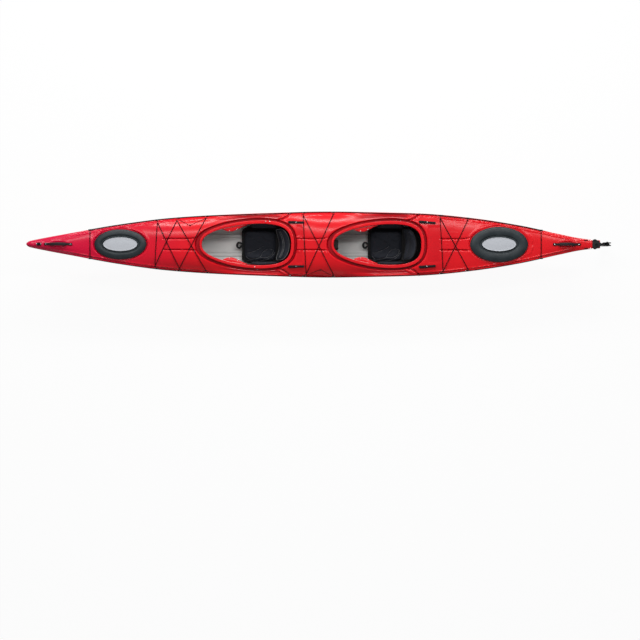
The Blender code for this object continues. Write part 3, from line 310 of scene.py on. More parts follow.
def hatch_share(hatch, x, y, longer=0.0, wider=0.0):
    """Squared distance from a hatch's middle; it is 1 on its outline, grown by so much."""
    spec = HATCHES[hatch]
    return (((x - spec["centre"]) / (spec["half_length"] + longer)) ** 2
            + (y / (spec["half_width"] + wider)) ** 2)


def hatch_plane(hatch, x, above):
    """Height of the hatch's own tilted plane at x."""
    spec = HATCHES[hatch]
    return spec["height"] + spec["slope"] * (x - spec["centre"]) + above


def scallops(x, y):
    """Depth of the long hollows between each cockpit's moat and the deck's edge.

    Across, it is sin(pi t) to the power 0.8; along, it fades in towards the bow and ends aft
    in a slanting crease.
    """
    side, deep = np.abs(y), 0.0095
    depth = np.zeros_like(side)
    for cockpit, inner_x, outer_x in (("front_cockpit", -0.347, -0.260),
                                      ("rear_cockpit", 0.869, 0.985)):
        moat = egg_half_width(cockpit, x, MOAT)
        room = np.maximum(edge_half_width(x) - 0.012 - moat, 1e-4)
        t = np.clip((side - moat + 0.004) / room, 0, 1)
        crease = inner_x + (outer_x - inner_x) * np.clip((side - 0.242) / 0.06, -0.3, 1.2)
        front = COCKPITS[cockpit]["centre"] - COCKPITS[cockpit]["half_length"] + 0.02
        along = ease(x, front, front + 0.38) * (1 - ease(x, crease - 0.010, crease + 0.006))
        depth += deep * np.sin(math.pi * t) ** 0.8 * along
    return depth


def distance_to(x, y, route):
    """Distance on plan from each point to a drawn line, the least over its straight lengths."""
    best = np.full(np.broadcast(x, y).shape, 1e9)
    for (x0, y0), (x1, y1) in zip(route, route[1:]):
        run = (x1 - x0) ** 2 + (y1 - y0) ** 2
        t = np.clip(((x - x0) * (x1 - x0) + (y - y0) * (y1 - y0)) / run, 0, 1)
        best = np.minimum(best, np.hypot(x - x0 - t * (x1 - x0), y - y0 - t * (y1 - y0)))
    return best


def relief(x, y):
    """Moulded detail added to the plain deck, in metres.

    A bead and a shallow valley follow the edge, grooves run fore and aft at GROOVE_Y, hollows
    lie under the carry handles, and low ridges ring the hatches. Behind each cockpit is a
    sunken panel, and creases run out from it to the edge.
    """
    side, width = np.abs(y), edge_half_width(x)
    inset = width - side
    wide_enough = ease(width, 0.045, 0.10)
    beside = window(x, -1.00, -0.32, 0.10) + window(x, 0.25, 0.93, 0.10)
    lift = 0.0040 * hill(inset - 0.029, 0.0060) - 0.0026 * hill(inset - 0.016, 0.0055)
    lift *= wide_enough * (1 - 0.6 * np.clip(beside, 0, 1))
    for start, end in GROOVES:
        centre = GROOVE_Y + 0.008 * np.clip((x - (end - 0.10)) / 0.11, 0, 1) ** 1.8
        along = window(x, start + 0.004, end - 0.010, 0.020)
        lift -= 0.0115 * hill(side - centre, 0.0062) * along
        lift += 0.0010 * hill(side - centre, 0.013) * along
    for middle in (-2.440, 2.435):
        ring = ((x - middle) / 0.085) ** 2 + (side / 0.031) ** 2
        lift -= 0.0075 * np.clip(1 - ring, 0, 1) ** 0.8 * ease(width, 0.035, 0.05)
        lift += 0.0012 * hill(np.sqrt(ring) - 1.12, 0.12)
    for hatch in HATCHES:
        lift += 0.0020 * hill(np.sqrt(hatch_share(hatch, x, y, 0.030, 0.022)) - 1.0, 0.035)
    ridge = np.sqrt(hatch_share("rear_hatch", x, y, 0.046, 0.040))
    aft = ease(x, 1.99, 2.03) * window(side, 0.030, 0.085, 0.020)
    lift += 0.0042 * hill(ridge - 1.0, 0.026) * aft
    lift -= 0.0034 * window(x, 1.104, 1.219, 0.006) * (1 - ease(side, 0.170, 0.182))
    lift -= 0.0034 * (window(side, 0.075, 0.178, 0.006) * window(x, -0.163, -0.112, 0.005))
    for crease in CREASES:
        lift -= 0.0135 * hill(distance_to(x, side, crease), 0.0092)
    return lift - scallops(x, y)


def deck_surface(x, y):
    """The finished deck's height: the plain deck and its moulded detail."""
    return towards_nose(x, deck_height(x, y) + relief(x, y))


def moat_height(x, y):
    return np.minimum(smooth_curve(CROWN, x) - MOAT_DEPTH, deck_height(x, y) - 0.004)


def crevice_shade_share(points):
    """How much painted shade each point of the deck takes for lying in a groove, crease or moat, 0
    to 1.

    It is the drop below the plain deck, less 2 mm, over 8 mm; 0 on and inside the rims.
    """
    x, y, z = points.T
    share = np.clip((deck_height(x, y) - z - 0.002) / 0.008, 0, 1)
    for cockpit in COCKPITS:
        share *= np.abs(y) >= egg_half_width(cockpit, x, RIM) * 0.985
    for hatch in HATCHES:
        share *= hatch_share(hatch, x, y) > 1.3
    return share


def points_at(x, y, z):
    return np.stack(np.broadcast_arrays(x, y, z), axis=-1).astype(float)


# Surfaces and pieces

def read(items, key, width=3):
    """One number or vector of every vertex, face or loop, as an array."""
    flat = np.empty(len(items) * width)
    items.foreach_get(key, flat)
    return flat.reshape(-1, 3) if width == 3 else flat


def move_points(data, points):
    data.vertices.foreach_set("co", points.ravel())
    data.update()


def grid_faces(rows, columns, start):
    """Quads of a rows by columns grid of points, numbered from start."""
    corner = start + (np.arange(rows - 1)[:, None] * columns + np.arange(columns - 1)).ravel()
    return np.column_stack([corner, corner + 1, corner + columns + 1, corner + columns])


def make_mesh(name, grids, facing=None, flats=None, sharp=38):
    """One mesh from grids of points, welded where they meet, its faces turned outwards.

    A closed shell is turned by its volume. For an open one, facing is the direction that most
    of its area looks in. Each grid may come with a (rows, columns, 2) array of flat coordinates.
    """
    counts = np.cumsum([0] + [grid.shape[0] * grid.shape[1] for grid in grids])
    faces = [grid_faces(g.shape[0], g.shape[1], int(n)) for g, n in zip(grids, counts)]
    data = bpy.data.meshes.new(name)
    points = np.vstack([grid.reshape(-1, 3) for grid in grids])
    data.from_pydata(points.tolist(), [], np.vstack(faces).tolist())
    if flats is not None:
        layer = data.uv_layers.new(name="UVMap")
        index = np.empty(len(data.loops), dtype=np.int32)
        data.loops.foreach_get("vertex_index", index)
        flat = np.vstack([f.reshape(-1, 2) for f in flats])[index]
        layer.uv.foreach_set("vector", flat.astype(np.float32).ravel())
    shell = bmesh.new()
    shell.from_mesh(data)
    bmesh.ops.remove_doubles(shell, verts=shell.verts, dist=WELD)
    bmesh.ops.dissolve_degenerate(shell, dist=WELD / 5, edges=shell.edges)
    bmesh.ops.recalc_face_normals(shell, faces=shell.faces)
    inside_out = shell.calc_volume(signed=True) < 0
    shell.to_mesh(data)
    shell.free()
    if facing is not None:
        areas = read(data.polygons, "area", 1)
        inside_out = np.sum(areas * (read(data.polygons, "normal") @ np.array(facing, float))) < 0
    if inside_out:
        data.flip_normals()
    data.shade_smooth()
    data.set_sharp_from_angle(angle=math.radians(sharp))
    return data


def piece(name, data, finish, body="hull", stands_for=()):
    """A finished piece at the origin, riding on its body and standing for its CAD nodes."""
    obj = bpy.data.objects.new(name, data)
    bpy.context.scene.collection.objects.link(obj)
    data.materials.clear()
    data.materials.append(FINISHES[finish])
    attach(obj, body)
    if stands_for:
        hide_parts(*stands_for)
    return obj


def build(name, grids, finish, slot, body="hull", stands_for=(), **shape):
    """A piece made straight from grids of points."""
    return piece(name, make_mesh(name, grids, **shape), finish, body, stands_for)


def build_tubes(name, tubes, finish, slot, body="hull", stands_for=()):
    """A piece made of tubes or straps, each with its own flat coordinates."""
    grids, flats = zip(*tubes)
    return build(name, grids, finish, slot, body, stands_for, flats=flats)


def closed_rings(rings):
    """Rings of equal length, (n, points, 3), as a grid that closes on itself."""
    rings = np.asarray(rings, float)
    return np.concatenate([rings, rings[:, :1]], axis=1)


def capped(rings):
    """The same rings with a flat end at either side, drawn to the ring's middle."""
    rings = np.asarray(rings, float)
    first, last = (np.repeat(end.mean(axis=1, keepdims=True), rings.shape[1], axis=1)
                   for end in (rings[:1], rings[-1:]))
    return closed_rings(np.concatenate([first, rings, last]))


def path_frames(path, up=(0, 0, 1)):
    """Unit tangents, sidewise and upward directions at every point of a path."""
    path = np.asarray(path, float)
    tangent = np.gradient(path, axis=0)
    tangent /= np.linalg.norm(tangent, axis=1)[:, None]
    side = np.cross(tangent, np.broadcast_to(np.asarray(up, float), path.shape))
    side /= np.maximum(np.linalg.norm(side, axis=1), 1e-9)[:, None]
    return tangent, side, np.cross(side, tangent)


def sweep(path, profile, up=(0, 0, 1)):
    """A closed profile of (sideways, upwards) points carried along a path, ends closed.

    The profile is (points, 2), or (path points, points, 2) where it changes on the way.
    """
    path = np.asarray(path, float)
    _, side, rise = path_frames(path, up)
    profile = np.broadcast_to(profile, (len(path),) + np.shape(profile)[-2:])
    rings = path[:, None] + side[:, None] * profile[..., :1] + rise[:, None] * profile[..., 1:]
    return capped(rings)


def length_along(path):
    path = np.asarray(path, float)
    return np.concatenate([[0], np.cumsum(np.linalg.norm(np.diff(path, axis=0), axis=1))])


def even_places(route, count):
    """So many places at even spacing along a route of any number of coordinates."""
    run = length_along(route)
    even = np.linspace(0, run[-1], count)
    return np.column_stack([np.interp(even, run, column) for column in route.T])


def arc(start, corner, end, t):
    """A quadratic arc from start to end that leaves and arrives towards the corner."""
    return (1 - t) ** 2 * start + 2 * t * (1 - t) * corner + t**2 * end


def spaced(points, count):
    """A smooth curve through a few points, at evenly spaced places along its length.

    Each coordinate is a cubic of the length so far with slopes from its neighbours.
    """
    points = np.asarray(points, float)
    run = length_along(points)
    fine = np.linspace(0, run[-1], 12 * len(points))
    return even_places(cubic(fine, run, points, np.gradient(points, run, axis=0)), count)


def tube(path, radius, sides, up=(0, 0, 1)):
    """A circle carried along a path, each end closed by a half ball; with flat coordinates."""
    path = np.asarray(path, float)
    tangent, side, rise = path_frames(path, up)
    turn = np.linspace(0, 2 * math.pi, sides + 1)
    bend = np.linspace(0, math.pi / 2, 5)
    reach = np.concatenate([-radius * np.cos(bend[:-1]), np.zeros(len(path)),
                            radius * np.sin(bend[1:])])
    size = np.concatenate([radius * np.sin(bend[:-1]), np.full(len(path), radius),
                           radius * np.cos(bend[1:])])
    pick = np.concatenate([np.zeros(4, int), np.arange(len(path)), np.full(4, len(path) - 1)])
    circle = (side[pick][:, None] * np.cos(turn)[:, None]
              + rise[pick][:, None] * np.sin(turn)[:, None])
    rings = (path[pick] + tangent[pick] * reach[:, None])[:, None] + circle * size[:, None, None]
    along = length_along(path)[pick] + reach
    flat = np.dstack(np.broadcast_arrays(along[:, None], turn[None] / (2 * math.pi)))
    return rings, flat


def strap(path, profile):
    """A flat band carried along a path; with flat coordinates."""
    grid = sweep(path, profile)
    run = length_along(path)
    along = np.concatenate([[0], run, run[-1:]])[:, None]
    return grid, np.dstack(np.broadcast_arrays(along, np.linspace(0, 1, grid.shape[1])[None]))


def lathe(profile, count):
    """(radius, height) points turned about Z, from the axis out and back to the axis."""
    turn = np.linspace(0, 2 * math.pi, count + 1)
    radius, height = np.array(profile, float).T[..., None]
    return points_at(radius * np.cos(turn), radius * np.sin(turn), height)


def placed(grid, place, normal=(0, 0, 1)):
    """A grid made about the origin, stood at a place with its Z along a normal."""
    normal = np.asarray(normal, float) / np.linalg.norm(normal)
    across = np.cross(normal, (1, 0, 0))
    across /= np.linalg.norm(across)
    forward = np.cross(across, normal)
    return np.asarray(place, float) + grid @ np.array([forward, across, normal])


def superellipse(half_width, half_height, power, count):
    """Closed (sideways, upwards) outline of |a|^p + |b|^p = 1."""
    turn = np.linspace(0, 2 * math.pi, count, endpoint=False)
    a, b = np.cos(turn), np.sin(turn)
    return np.column_stack([
        half_width * np.sign(a) * np.abs(a) ** (2 / power),
        half_height * np.sign(b) * np.abs(b) ** (2 / power),
    ])


def slab(outline, low, high, edge, bend=4):
    """A flat (x, y) outline with thickness along Z, its edges rounded by a quarter circle."""
    outline = np.asarray(outline, float)
    following = np.roll(outline, -1, axis=0)
    step = following - np.roll(outline, 1, axis=0)
    step /= np.linalg.norm(step, axis=1)[:, None]
    area = np.sum(outline[:, 0] * following[:, 1] - outline[:, 1] * following[:, 0])
    outward = np.column_stack([step[:, 1], -step[:, 0]]) * np.sign(area)
    turn = np.linspace(0, math.pi / 2, bend + 1)
    inset = np.concatenate([edge * (1 - np.sin(turn)), edge * (1 - np.cos(turn))])
    height = np.concatenate([low + edge * (1 - np.cos(turn)), high - edge + edge * np.sin(turn)])
    rings = outline[None] - outward[None] * inset[:, None, None]
    heights = np.broadcast_to(height[:, None], rings.shape[:2])
    return capped(np.dstack([rings, heights]))


def rounded_outline(corners, radius, per_corner):
    """A polygon whose corners are cut by quadratic arcs of about that radius."""
    corners = np.asarray(corners, float)
    ends = []
    for turn in (1, -1):
        towards = np.roll(corners, turn, axis=0) - corners
        reach = np.linalg.norm(towards, axis=1)[:, None]
        ends.append(corners + towards / reach * np.minimum(radius, 0.45 * reach))
    t = np.linspace(0, 1, per_corner)[None, :, None]
    return arc(ends[0][:, None], corners[:, None], ends[1][:, None], t).reshape(-1, 2)


# Hull

def stations():
    """All stations along the hull, and for each zone its first and last index."""
    xs, spans = [np.array([ZONES[0][0]])], []
    count = 0
    for start, end, spacing, holds in ZONES:
        steps = int(math.ceil((end - start) / spacing))
        row = np.linspace(start, end, steps + 1)
        if start == -HALF_LENGTH:
            row = np.concatenate([start + NOSE * (1 - np.cos(np.linspace(0, math.pi / 2, 9)[1:])),
                                  row[row > start + NOSE + 0.002]])
            xs.append(row)
            steps = len(row)
        else:
            xs.append(row[1:])
        spans.append((count, count + steps, holds))
        count += steps
    return np.concatenate(xs), spans


def deck_columns(x):
    """Places across the deck at each x: close together at the grooves and at the edge bead."""
    width = edge_half_width(x)[:, None]
    groove = np.minimum(GROOVE_Y, 0.42 * width)
    scale = groove / GROOVE_Y
    near = np.array([-12, -9, -7, -5, -3.2, -1.6, 0, 1.6, 3.2, 5, 7, 9, 12]) / 1000 * scale
    edge = np.array([40, 35, 32, 29.5, 27, 24, 20.5, 17, 13, 9, 5.5, 2.5, 0]) / 1000
    edge = edge * np.minimum(1.0, width / 0.12)
    inner = (groove - 0.012 * scale) * np.linspace(0, 1, 6)[1:-1]
    start, end = groove + 0.012 * scale, width - edge[:, :1]
    middle = start + (end - start) * np.linspace(0, 1, 15)[1:-1]
    half = np.hstack([inner, groove + near, middle, width - edge])
    return np.hstack([-half[:, ::-1], np.zeros_like(width), half])


def bottom_section(x):
    """Half of the outer bottom at each x, from the sheer line to the keel, as (y, z) arrays.

    A gunwale band bulges a little below the sheer line; under it the section is a
    superellipse, y = sin(a)^p and z = cos(a)^p, nearly a V at the ends and full amidships.
    """
    beam, sheer = half_beam(x)[:, None], smooth_curve(SHEER, x)[:, None]
    keel = smooth_curve(KEEL, x)[:, None]
    band = np.minimum(BAND, 0.45 * (sheer - keel))
    share = np.array([0, 0.06, 0.14, 0.24, 0.40, 0.60, 0.76, 0.88, 0.96])
    bulge = np.array([-0.0015, -0.0006, 0.0002, 0.0006, 0.0004, 0, -0.002, -0.0050, -0.0085])
    thin = np.minimum(1.0, beam / 0.05)
    side = beam - np.minimum(0.010, 0.2 * beam)
    power = 2 / (1.6 + 1.3 * (1 - np.abs(x / HALF_LENGTH) ** 2.5))[:, None]
    rib = np.minimum(0.088, 0.45 * side) / 0.088
    near = rib * np.array([0.066, 0.070, 0.073, 0.077, 0.088, 0.099, 0.103, 0.106, 0.110])
    near = np.arcsin((near / side) ** (1 / power))
    even = np.broadcast_to(np.linspace(math.pi / 2, 0, 27), (len(x), 27))
    angle = -np.sort(-np.hstack([even, near]), axis=1)
    y = np.hstack([beam + bulge * thin, side * np.sin(angle) ** power])
    edge = sheer - band
    z = np.hstack([sheer - band * share, edge - (edge - keel) * np.cos(angle) ** power])
    return y, towards_nose(x[:, None], z)


def floor_ribs(x, y):
    """Two long flat ribs that stiffen the floor of each cockpit."""
    along = window(x, -1.50, -0.70, 0.03) + window(x, 0.13, 0.53, 0.03)
    return FLOOR_RIB_HEIGHT * window(np.abs(y), *FLOOR_RIB, 0.005) * along


def inwards(rings, distance):
    """Closed (stations, points, 2) rings moved inwards by a distance along mean normals."""
    along = np.roll(rings, -1, axis=1) - np.roll(rings, 1, axis=1)
    along /= np.maximum(np.linalg.norm(along, axis=2), 1e-9)[..., None]
    normal = np.dstack([along[..., 1], -along[..., 0]])
    y, z = rings[..., 0], rings[..., 1]
    area = np.sum(y * np.roll(z, -1, axis=1) - z * np.roll(y, -1, axis=1), axis=1)
    normal = np.where(area[:, None, None] > 0, -normal, normal)
    return rings + normal * distance


def zone_loop(deck, first, last):
    """A deck zone's edge as one closed loop: port, aft, starboard, forward."""
    return np.vstack([deck[first : last + 1, 0], deck[last, 1:], deck[first:last, -1][::-1],
                      deck[first, 1:-1][::-1]])


def loop_shares(loop):
    """How far round from the bow's middle each loop point is, 0 to 1, port side first."""
    step = np.linalg.norm(np.roll(loop, -1, axis=0) - loop, axis=1)
    run = np.concatenate([[0], np.cumsum(step)])
    middle = np.argmin(np.abs(loop[:, 1]) + 10 * (loop[:, 0] - loop[:, 0].min()))
    return ((run[:-1] - run[middle]) / run[-1]) % 1.0


def outline_angles(loop, outline):
    """Angles at which an outline has run the same share of its length as the loop's points."""
    shares = loop_shares(loop)
    angle = np.linspace(0, math.pi, 1500)
    x, y = outline(angle)
    run = np.concatenate([[0], np.cumsum(np.hypot(np.diff(x), np.diff(y)))])
    run /= run[-1] * 2
    half = np.interp(np.minimum(shares, 1 - shares), run, angle)
    return np.where(shares < 0.5, -half, half)


def blend_to(loop, x, y, shares, height):
    """Rings from a loop to an outline, in straight lines on plan, at a surface's height."""
    rings = []
    for share in shares:
        ring_x = loop[:, 0] + (x - loop[:, 0]) * share
        ring_y = loop[:, 1] + (y - loop[:, 1]) * share
        rings.append(points_at(ring_x, ring_y, height(ring_x, ring_y)))
    return rings


def coaming_rings(cockpit, loop):
    """Deck, moat, upright neck and the flat lip with its rolled edges, from outside in."""
    angle = outline_angles(loop, lambda a: egg(cockpit, a, MOAT))
    x, y = egg(cockpit, angle, np.add(MOAT, 0.007))
    rings = blend_to(loop, x, y, np.linspace(0, 1, 21), deck_surface)
    rings[0] = loop

    def ring(grow, height, drop):
        ring_x, ring_y = egg(cockpit, angle, grow)
        rings.append(points_at(ring_x, ring_y, height(ring_x, ring_y) - drop))

    moat, rim, slope = np.array(MOAT), np.array(RIM), np.array(MOAT_SLOPE)
    floor = moat - slope
    for share, drop in ((0.0, 0.0010), (0.12, 0.0028)):
        ring(moat + 0.003 * (1 - share) - slope * share, deck_surface, drop)
    top = deck_surface(*egg(cockpit, angle, moat - slope * 0.12)) - 0.0028
    low = moat_height(*egg(cockpit, angle, floor))
    for share, fall in ((0.35, 0.30), (0.55, 0.58), (0.75, 0.82), (0.9, 0.95), (1.0, 1.0)):
        x, y = egg(cockpit, angle, moat - slope * (0.12 + 0.88 * share))
        rings.append(points_at(x, y, top + (low - top) * fall))
    neck = np.full(3, 0.007)
    for share in (0.33, 0.66, 0.9):
        ring(floor + (neck + 0.003 - floor) * share, moat_height, 0.0)
    for out, drop in ((0.003, -0.0005), (0.0008, -0.0018), (0, -0.0040)):
        ring(neck + out, moat_height, drop)
    crown = lambda a, b: smooth_curve(CROWN, a)
    ring(neck, crown, RIM_THICK + 0.0020)
    ring(neck + 0.0015, crown, RIM_THICK)
    ring(rim - 0.0020, crown, RIM_THICK)
    for out, drop in ((-0.0006, 0.0094), (0.0, 0.0080), (0.0002, 0.0050), (-0.0004, 0.0030),
                      (-0.0016, 0.0012), (-0.0035, 0.0002), (-0.006, -0.0002)):
        ring(rim + out, crown, drop)
    for share, drop in ((0.35, 0.0001), (0.65, 0.0004), (0.85, 0.0004)):
        ring(rim - 0.006 - (rim - 0.010) * share, crown, drop)
    for out, drop in ((0.0042, 0.0004), (0.0022, 0.0012), (0.0008, 0.0028), (0.0, 0.0050),
                      (0.0, 0.0100), (0.0, 0.0160)):
        ring(np.full(3, out), crown, drop)
    ring(np.zeros(3), moat_height, WALL)
    return rings


def under_deck(x, y):
    return deck_surface(x, y) - WALL - 0.001


def under_coaming_rings(cockpit, loop, inner_loop):
    """The lining under the deck, from the coaming's lower edge out to the hull's side."""
    angle = outline_angles(loop, lambda a: egg(cockpit, a, MOAT))
    rings = []
    for share in (0, 0.5, 1.0):
        x, y = egg(cockpit, angle, (np.array(MOAT) - MOAT_SLOPE) * share)
        rings.append(points_at(x, y, moat_height(x, y) - WALL))
    x, y = egg(cockpit, angle, MOAT)
    return rings + blend_to(inner_loop, x, y, (1.0, 0.75, 0.5, 0.25), under_deck) + [inner_loop]


def hatch_rings(hatch, loop):
    """Deck, recess round the lid, upright rim and the hole's wall, from outside in."""
    angle = outline_angles(loop, lambda a: ellipse(hatch, a))
    x, y = ellipse(hatch, angle, -0.014)
    rings = blend_to(loop, x, y, np.linspace(0, 1, 13), deck_surface)
    rings[0] = loop
    edge_z = deck_surface(*ellipse(hatch, angle, -0.012))
    floor_x, _ = ellipse(hatch, angle, -0.005)
    floor = np.minimum(hatch_plane(hatch, floor_x, -0.012), edge_z - 0.002)
    for inset, share in ((-0.0128, 0.06), (-0.0118, 0.20), (-0.010, 0.50), (-0.0085, 0.80),
                         (-0.0065, 0.95), (-0.004, 1.0)):
        x, y = ellipse(hatch, angle, inset)
        rings.append(points_at(x, y, edge_z + (floor - edge_z) * share))
    for inset, above in ((0.0125, -0.013), (0.0137, -0.0122), (0.014, -0.011), (0.014, 0.0015),
                         (0.0148, 0.0033), (0.0165, 0.004), (0.0205, 0.004), (0.0222, 0.0033),
                         (0.023, 0.0015), (0.023, -0.020)):
        x, y = ellipse(hatch, angle, inset)
        rings.append(points_at(x, y, hatch_plane(hatch, x, above)))
    return rings


def under_hatch_rings(hatch, loop, inner_loop):
    """The lining under the deck, from the hole's lower edge out to the hull's side."""
    angle = outline_angles(loop, lambda a: ellipse(hatch, a))
    x, y = ellipse(hatch, angle, 0.023)
    rings = [points_at(x, y, hatch_plane(hatch, x, -0.020))]
    x, y = ellipse(hatch, angle, -0.012)
    low = np.minimum(deck_surface(x, y), hatch_plane(hatch, x, -0.012)) - WALL - 0.002
    rings.append(points_at(x, y, low))
    return rings + blend_to(inner_loop, x, y, (0.5,), under_deck) + [inner_loop]


def paint_crevice_shade(data, shares):
    """Stores for each point how much painted shade its colour takes, from 0 to 1."""
    data.attributes.new("painted_crevice_shade", "FLOAT", "POINT").data.foreach_set("value", shares)


def make_hull():
    """The moulding in three skins that share their edges: deck, bottom and pale lining."""
    xs, spans = stations()
    y = deck_columns(xs)
    x = np.repeat(xs[:, None], y.shape[1], axis=1)
    deck = points_at(x, y, deck_surface(x, y))
    side_y, side_z = bottom_section(xs)
    side_y[:, 0], side_z[:, 0] = deck[:, -1, 1], deck[:, -1, 2]
    starboard = points_at(xs[:, None], side_y, side_z)
    bottom = np.concatenate([starboard, starboard[:, -2::-1] * (1, -1, 1)], axis=1)

    tail = np.concatenate([deck[-1], bottom[-1][1:-1]])
    middle = tail.mean(axis=0)
    cap = closed_rings([middle + (tail - middle) * size + (bulge, 0, 0) for size, bulge in (
        (1, 0), (0.985, 0.0016), (0.93, 0.0028), (0.5, 0.0034), (0.0, 0.0036))])

    ring = np.concatenate([deck[..., 1:], bottom[:, 1:-1, 1:]], axis=1)
    low_down = ring[..., 1] < sheer_height(x[:, :1]) - 0.1
    ring[..., 1] += floor_ribs(x[:, :1], ring[..., 0]) * low_down
    inner = np.dstack([np.broadcast_to(xs[:, None], ring.shape[:2]), inwards(ring, WALL)])
    columns = deck.shape[1]
    inner_deck = inner[:, :columns]
    inner_bottom = np.concatenate([inner[:, columns - 1 :], inner[:, :1]], axis=1)
    hollow = np.flatnonzero((xs >= CAVITY[0]) & (xs <= CAVITY[1]))

    top, lining = [], [inner_bottom[hollow[0] : hollow[-1] + 1]]
    for first, last, holds in spans:
        if holds is None:
            top.append(deck[first : last + 1])
            lining.append(inner_deck[max(first, hollow[0]) : min(last, hollow[-1]) + 1])
            continue
        over, under = ((coaming_rings, under_coaming_rings) if holds in COCKPITS
                       else (hatch_rings, under_hatch_rings))
        loop, inner_loop = zone_loop(deck, first, last), zone_loop(inner_deck, first, last)
        top.append(closed_rings(over(holds, loop)))
        lining.append(closed_rings(under(holds, loop, inner_loop)))
    for end in (hollow[0], hollow[-1]):
        edge = inner[end]
        middle = edge.mean(axis=0)
        lining.append(closed_rings([edge, (edge + middle) / 2, edge * 0 + middle]))
    data = make_mesh("deck_moulding", top, facing=(0, 0, 1), sharp=32)
    # Painted shade: the deck's colour darkens where it lies down in grooves, creases and moats
    paint_crevice_shade(data, crevice_shade_share(read(data.vertices, "co")))
    deck_piece = piece("deck_moulding", data, "red",
                       stands_for=("hull_bow", "hull_front", "hull_rear", "hull_stern"))
    side_piece = build("hull_bottom", [bottom, cap], "red", "hull_red", facing=(0, 0, -1),
                       sharp=32)
    data = make_mesh("cockpit_lining", lining, facing=(0, 0, 1), sharp=32)
    _, across, height = read(data.vertices, "co").T
    # Painted shade along the feet of the floor's ribs
    foot = hill(np.abs(across) - 0.0735, 0.0034) + hill(np.abs(across) - 0.1065, 0.0034)
    paint_crevice_shade(data, foot * (height < 0.16))
    piece("cockpit_lining", data, "lining")
    return (xs, inner), deck_piece, side_piece


# Finishes

# Every finish by its short name; make_finishes fills it
FINISHES = {}


def plug(tree, value, socket):
    """Links another node's output into a socket, or sets the socket to a number or colour."""
    if isinstance(value, bpy.types.NodeSocket):
        tree.links.new(value, socket)
    else:
        socket.default_value = value


def add_node(tree, kind, inputs=(), **settings):
    """A node with its settings, and a value or another node's output for each input named."""
    made = tree.nodes.new(kind)
    for key, value in settings.items():
        setattr(made, key, value)
    for key, value in dict(inputs).items():
        plug(tree, value, made.inputs[key])
    return made


class Finish:
    """A node material: one Principled shader, with textures added to it by its methods."""

    def __init__(self, name, colour, roughness, **sockets):
        self.material = bpy.data.materials.new(name)
        self.material.use_nodes = True
        self.tree = self.material.node_tree
        self.tree.nodes.clear()
        self.shader = self.node("ShaderNodeBsdfPrincipled")
        output = self.node("ShaderNodeOutputMaterial")
        self.tree.links.new(self.shader.outputs[0], output.inputs["Surface"])
        self.place = self.node("ShaderNodeTexCoord")
        self.set("Base Color", (*colour, 1))
        self.set("Roughness", roughness)
        for socket, value in sockets.items():
            self.set(socket.replace("_", " "), value)
        self.material.diffuse_color = (*colour, 1)
        self.relief = None

    def node(self, kind, inputs=(), **settings):
        return add_node(self.tree, kind, inputs, **settings)

    def set(self, socket, value):
        """Gives one of the shader's sockets a value or a texture."""
        plug(self.tree, value, self.shader.inputs[socket])

    def coordinates(self, flat=False, scale=(1, 1, 1)):
        """Object coordinates, or the piece's own flat ones, stretched."""
        source = self.place.outputs["UV" if flat else "Object"]
        return self.node("ShaderNodeMapping", {"Vector": source, "Scale": scale}).outputs[0]

    def noise(self, size, detail=3.0, rough=0.55, **where):
        at = self.coordinates(**where)
        return self.node("ShaderNodeTexNoise", {"Vector": at, "Scale": size, "Detail": detail,
                                                "Roughness": rough}).outputs["Fac"]

    def cells(self, size):
        at = self.coordinates()
        return self.node("ShaderNodeTexVoronoi", {"Vector": at, "Scale": size}).outputs["Distance"]

    def wave(self, size, direction, **where):
        at = self.coordinates(**where)
        return self.node("ShaderNodeTexWave", {"Vector": at, "Scale": size},
                         bands_direction=direction).outputs["Fac"]

    def span(self, value, low, high, start=0.0, end=1.0):
        """The value's stretch from low to high, spread from start to end."""
        return self.node("ShaderNodeMapRange", {"Value": value, "From Min": low, "From Max": high,
                                                "To Min": start, "To Max": end}).outputs[0]

    def maths(self, operation, a, b):
        return self.node("ShaderNodeMath", {0: a, 1: b}, operation=operation).outputs[0]

    def mix(self, share, one, other):
        """A colour between two, each a colour or another mix."""
        colours = [(*c, 1) if isinstance(c, tuple) else c for c in (one, other)]
        return self.node("ShaderNodeMix", {0: share, 6: colours[0], 7: colours[1]},
                         data_type="RGBA").outputs[2]

    def spots(self, share, strength, one, other):
        """The other colour laid over the first by a part of its share."""
        return self.mix(self.maths("MULTIPLY", share, strength), one, other)

    def clouds(self, size, detail, high, one, other, low=0.35):
        """Soft patches of two colours."""
        return self.mix(self.span(self.noise(size, detail), low, high), one, other)

    def painted_crevice_shade(self):
        """The share of painted shade stored with the points."""
        return self.node("ShaderNodeAttribute", attribute_name="painted_crevice_shade").outputs["Fac"]

    def colour(self, value):
        self.set("Base Color", value)

    def patchy_gloss(self, size, detail, smooth, rough):
        """Roughness that wanders from one value to the other over the surface."""
        self.set("Roughness", self.span(self.noise(size, detail), 0.3, 0.7, smooth, rough))

    def bump(self, height, strength, distance):
        """Raises the surface by a texture, on top of any bump added before."""
        inputs = {"Height": height, "Strength": strength, "Distance": distance}
        if self.relief is not None:
            inputs["Normal"] = self.relief
        self.relief = self.node("ShaderNodeBump", inputs).outputs[0]
        self.set("Normal", self.relief)


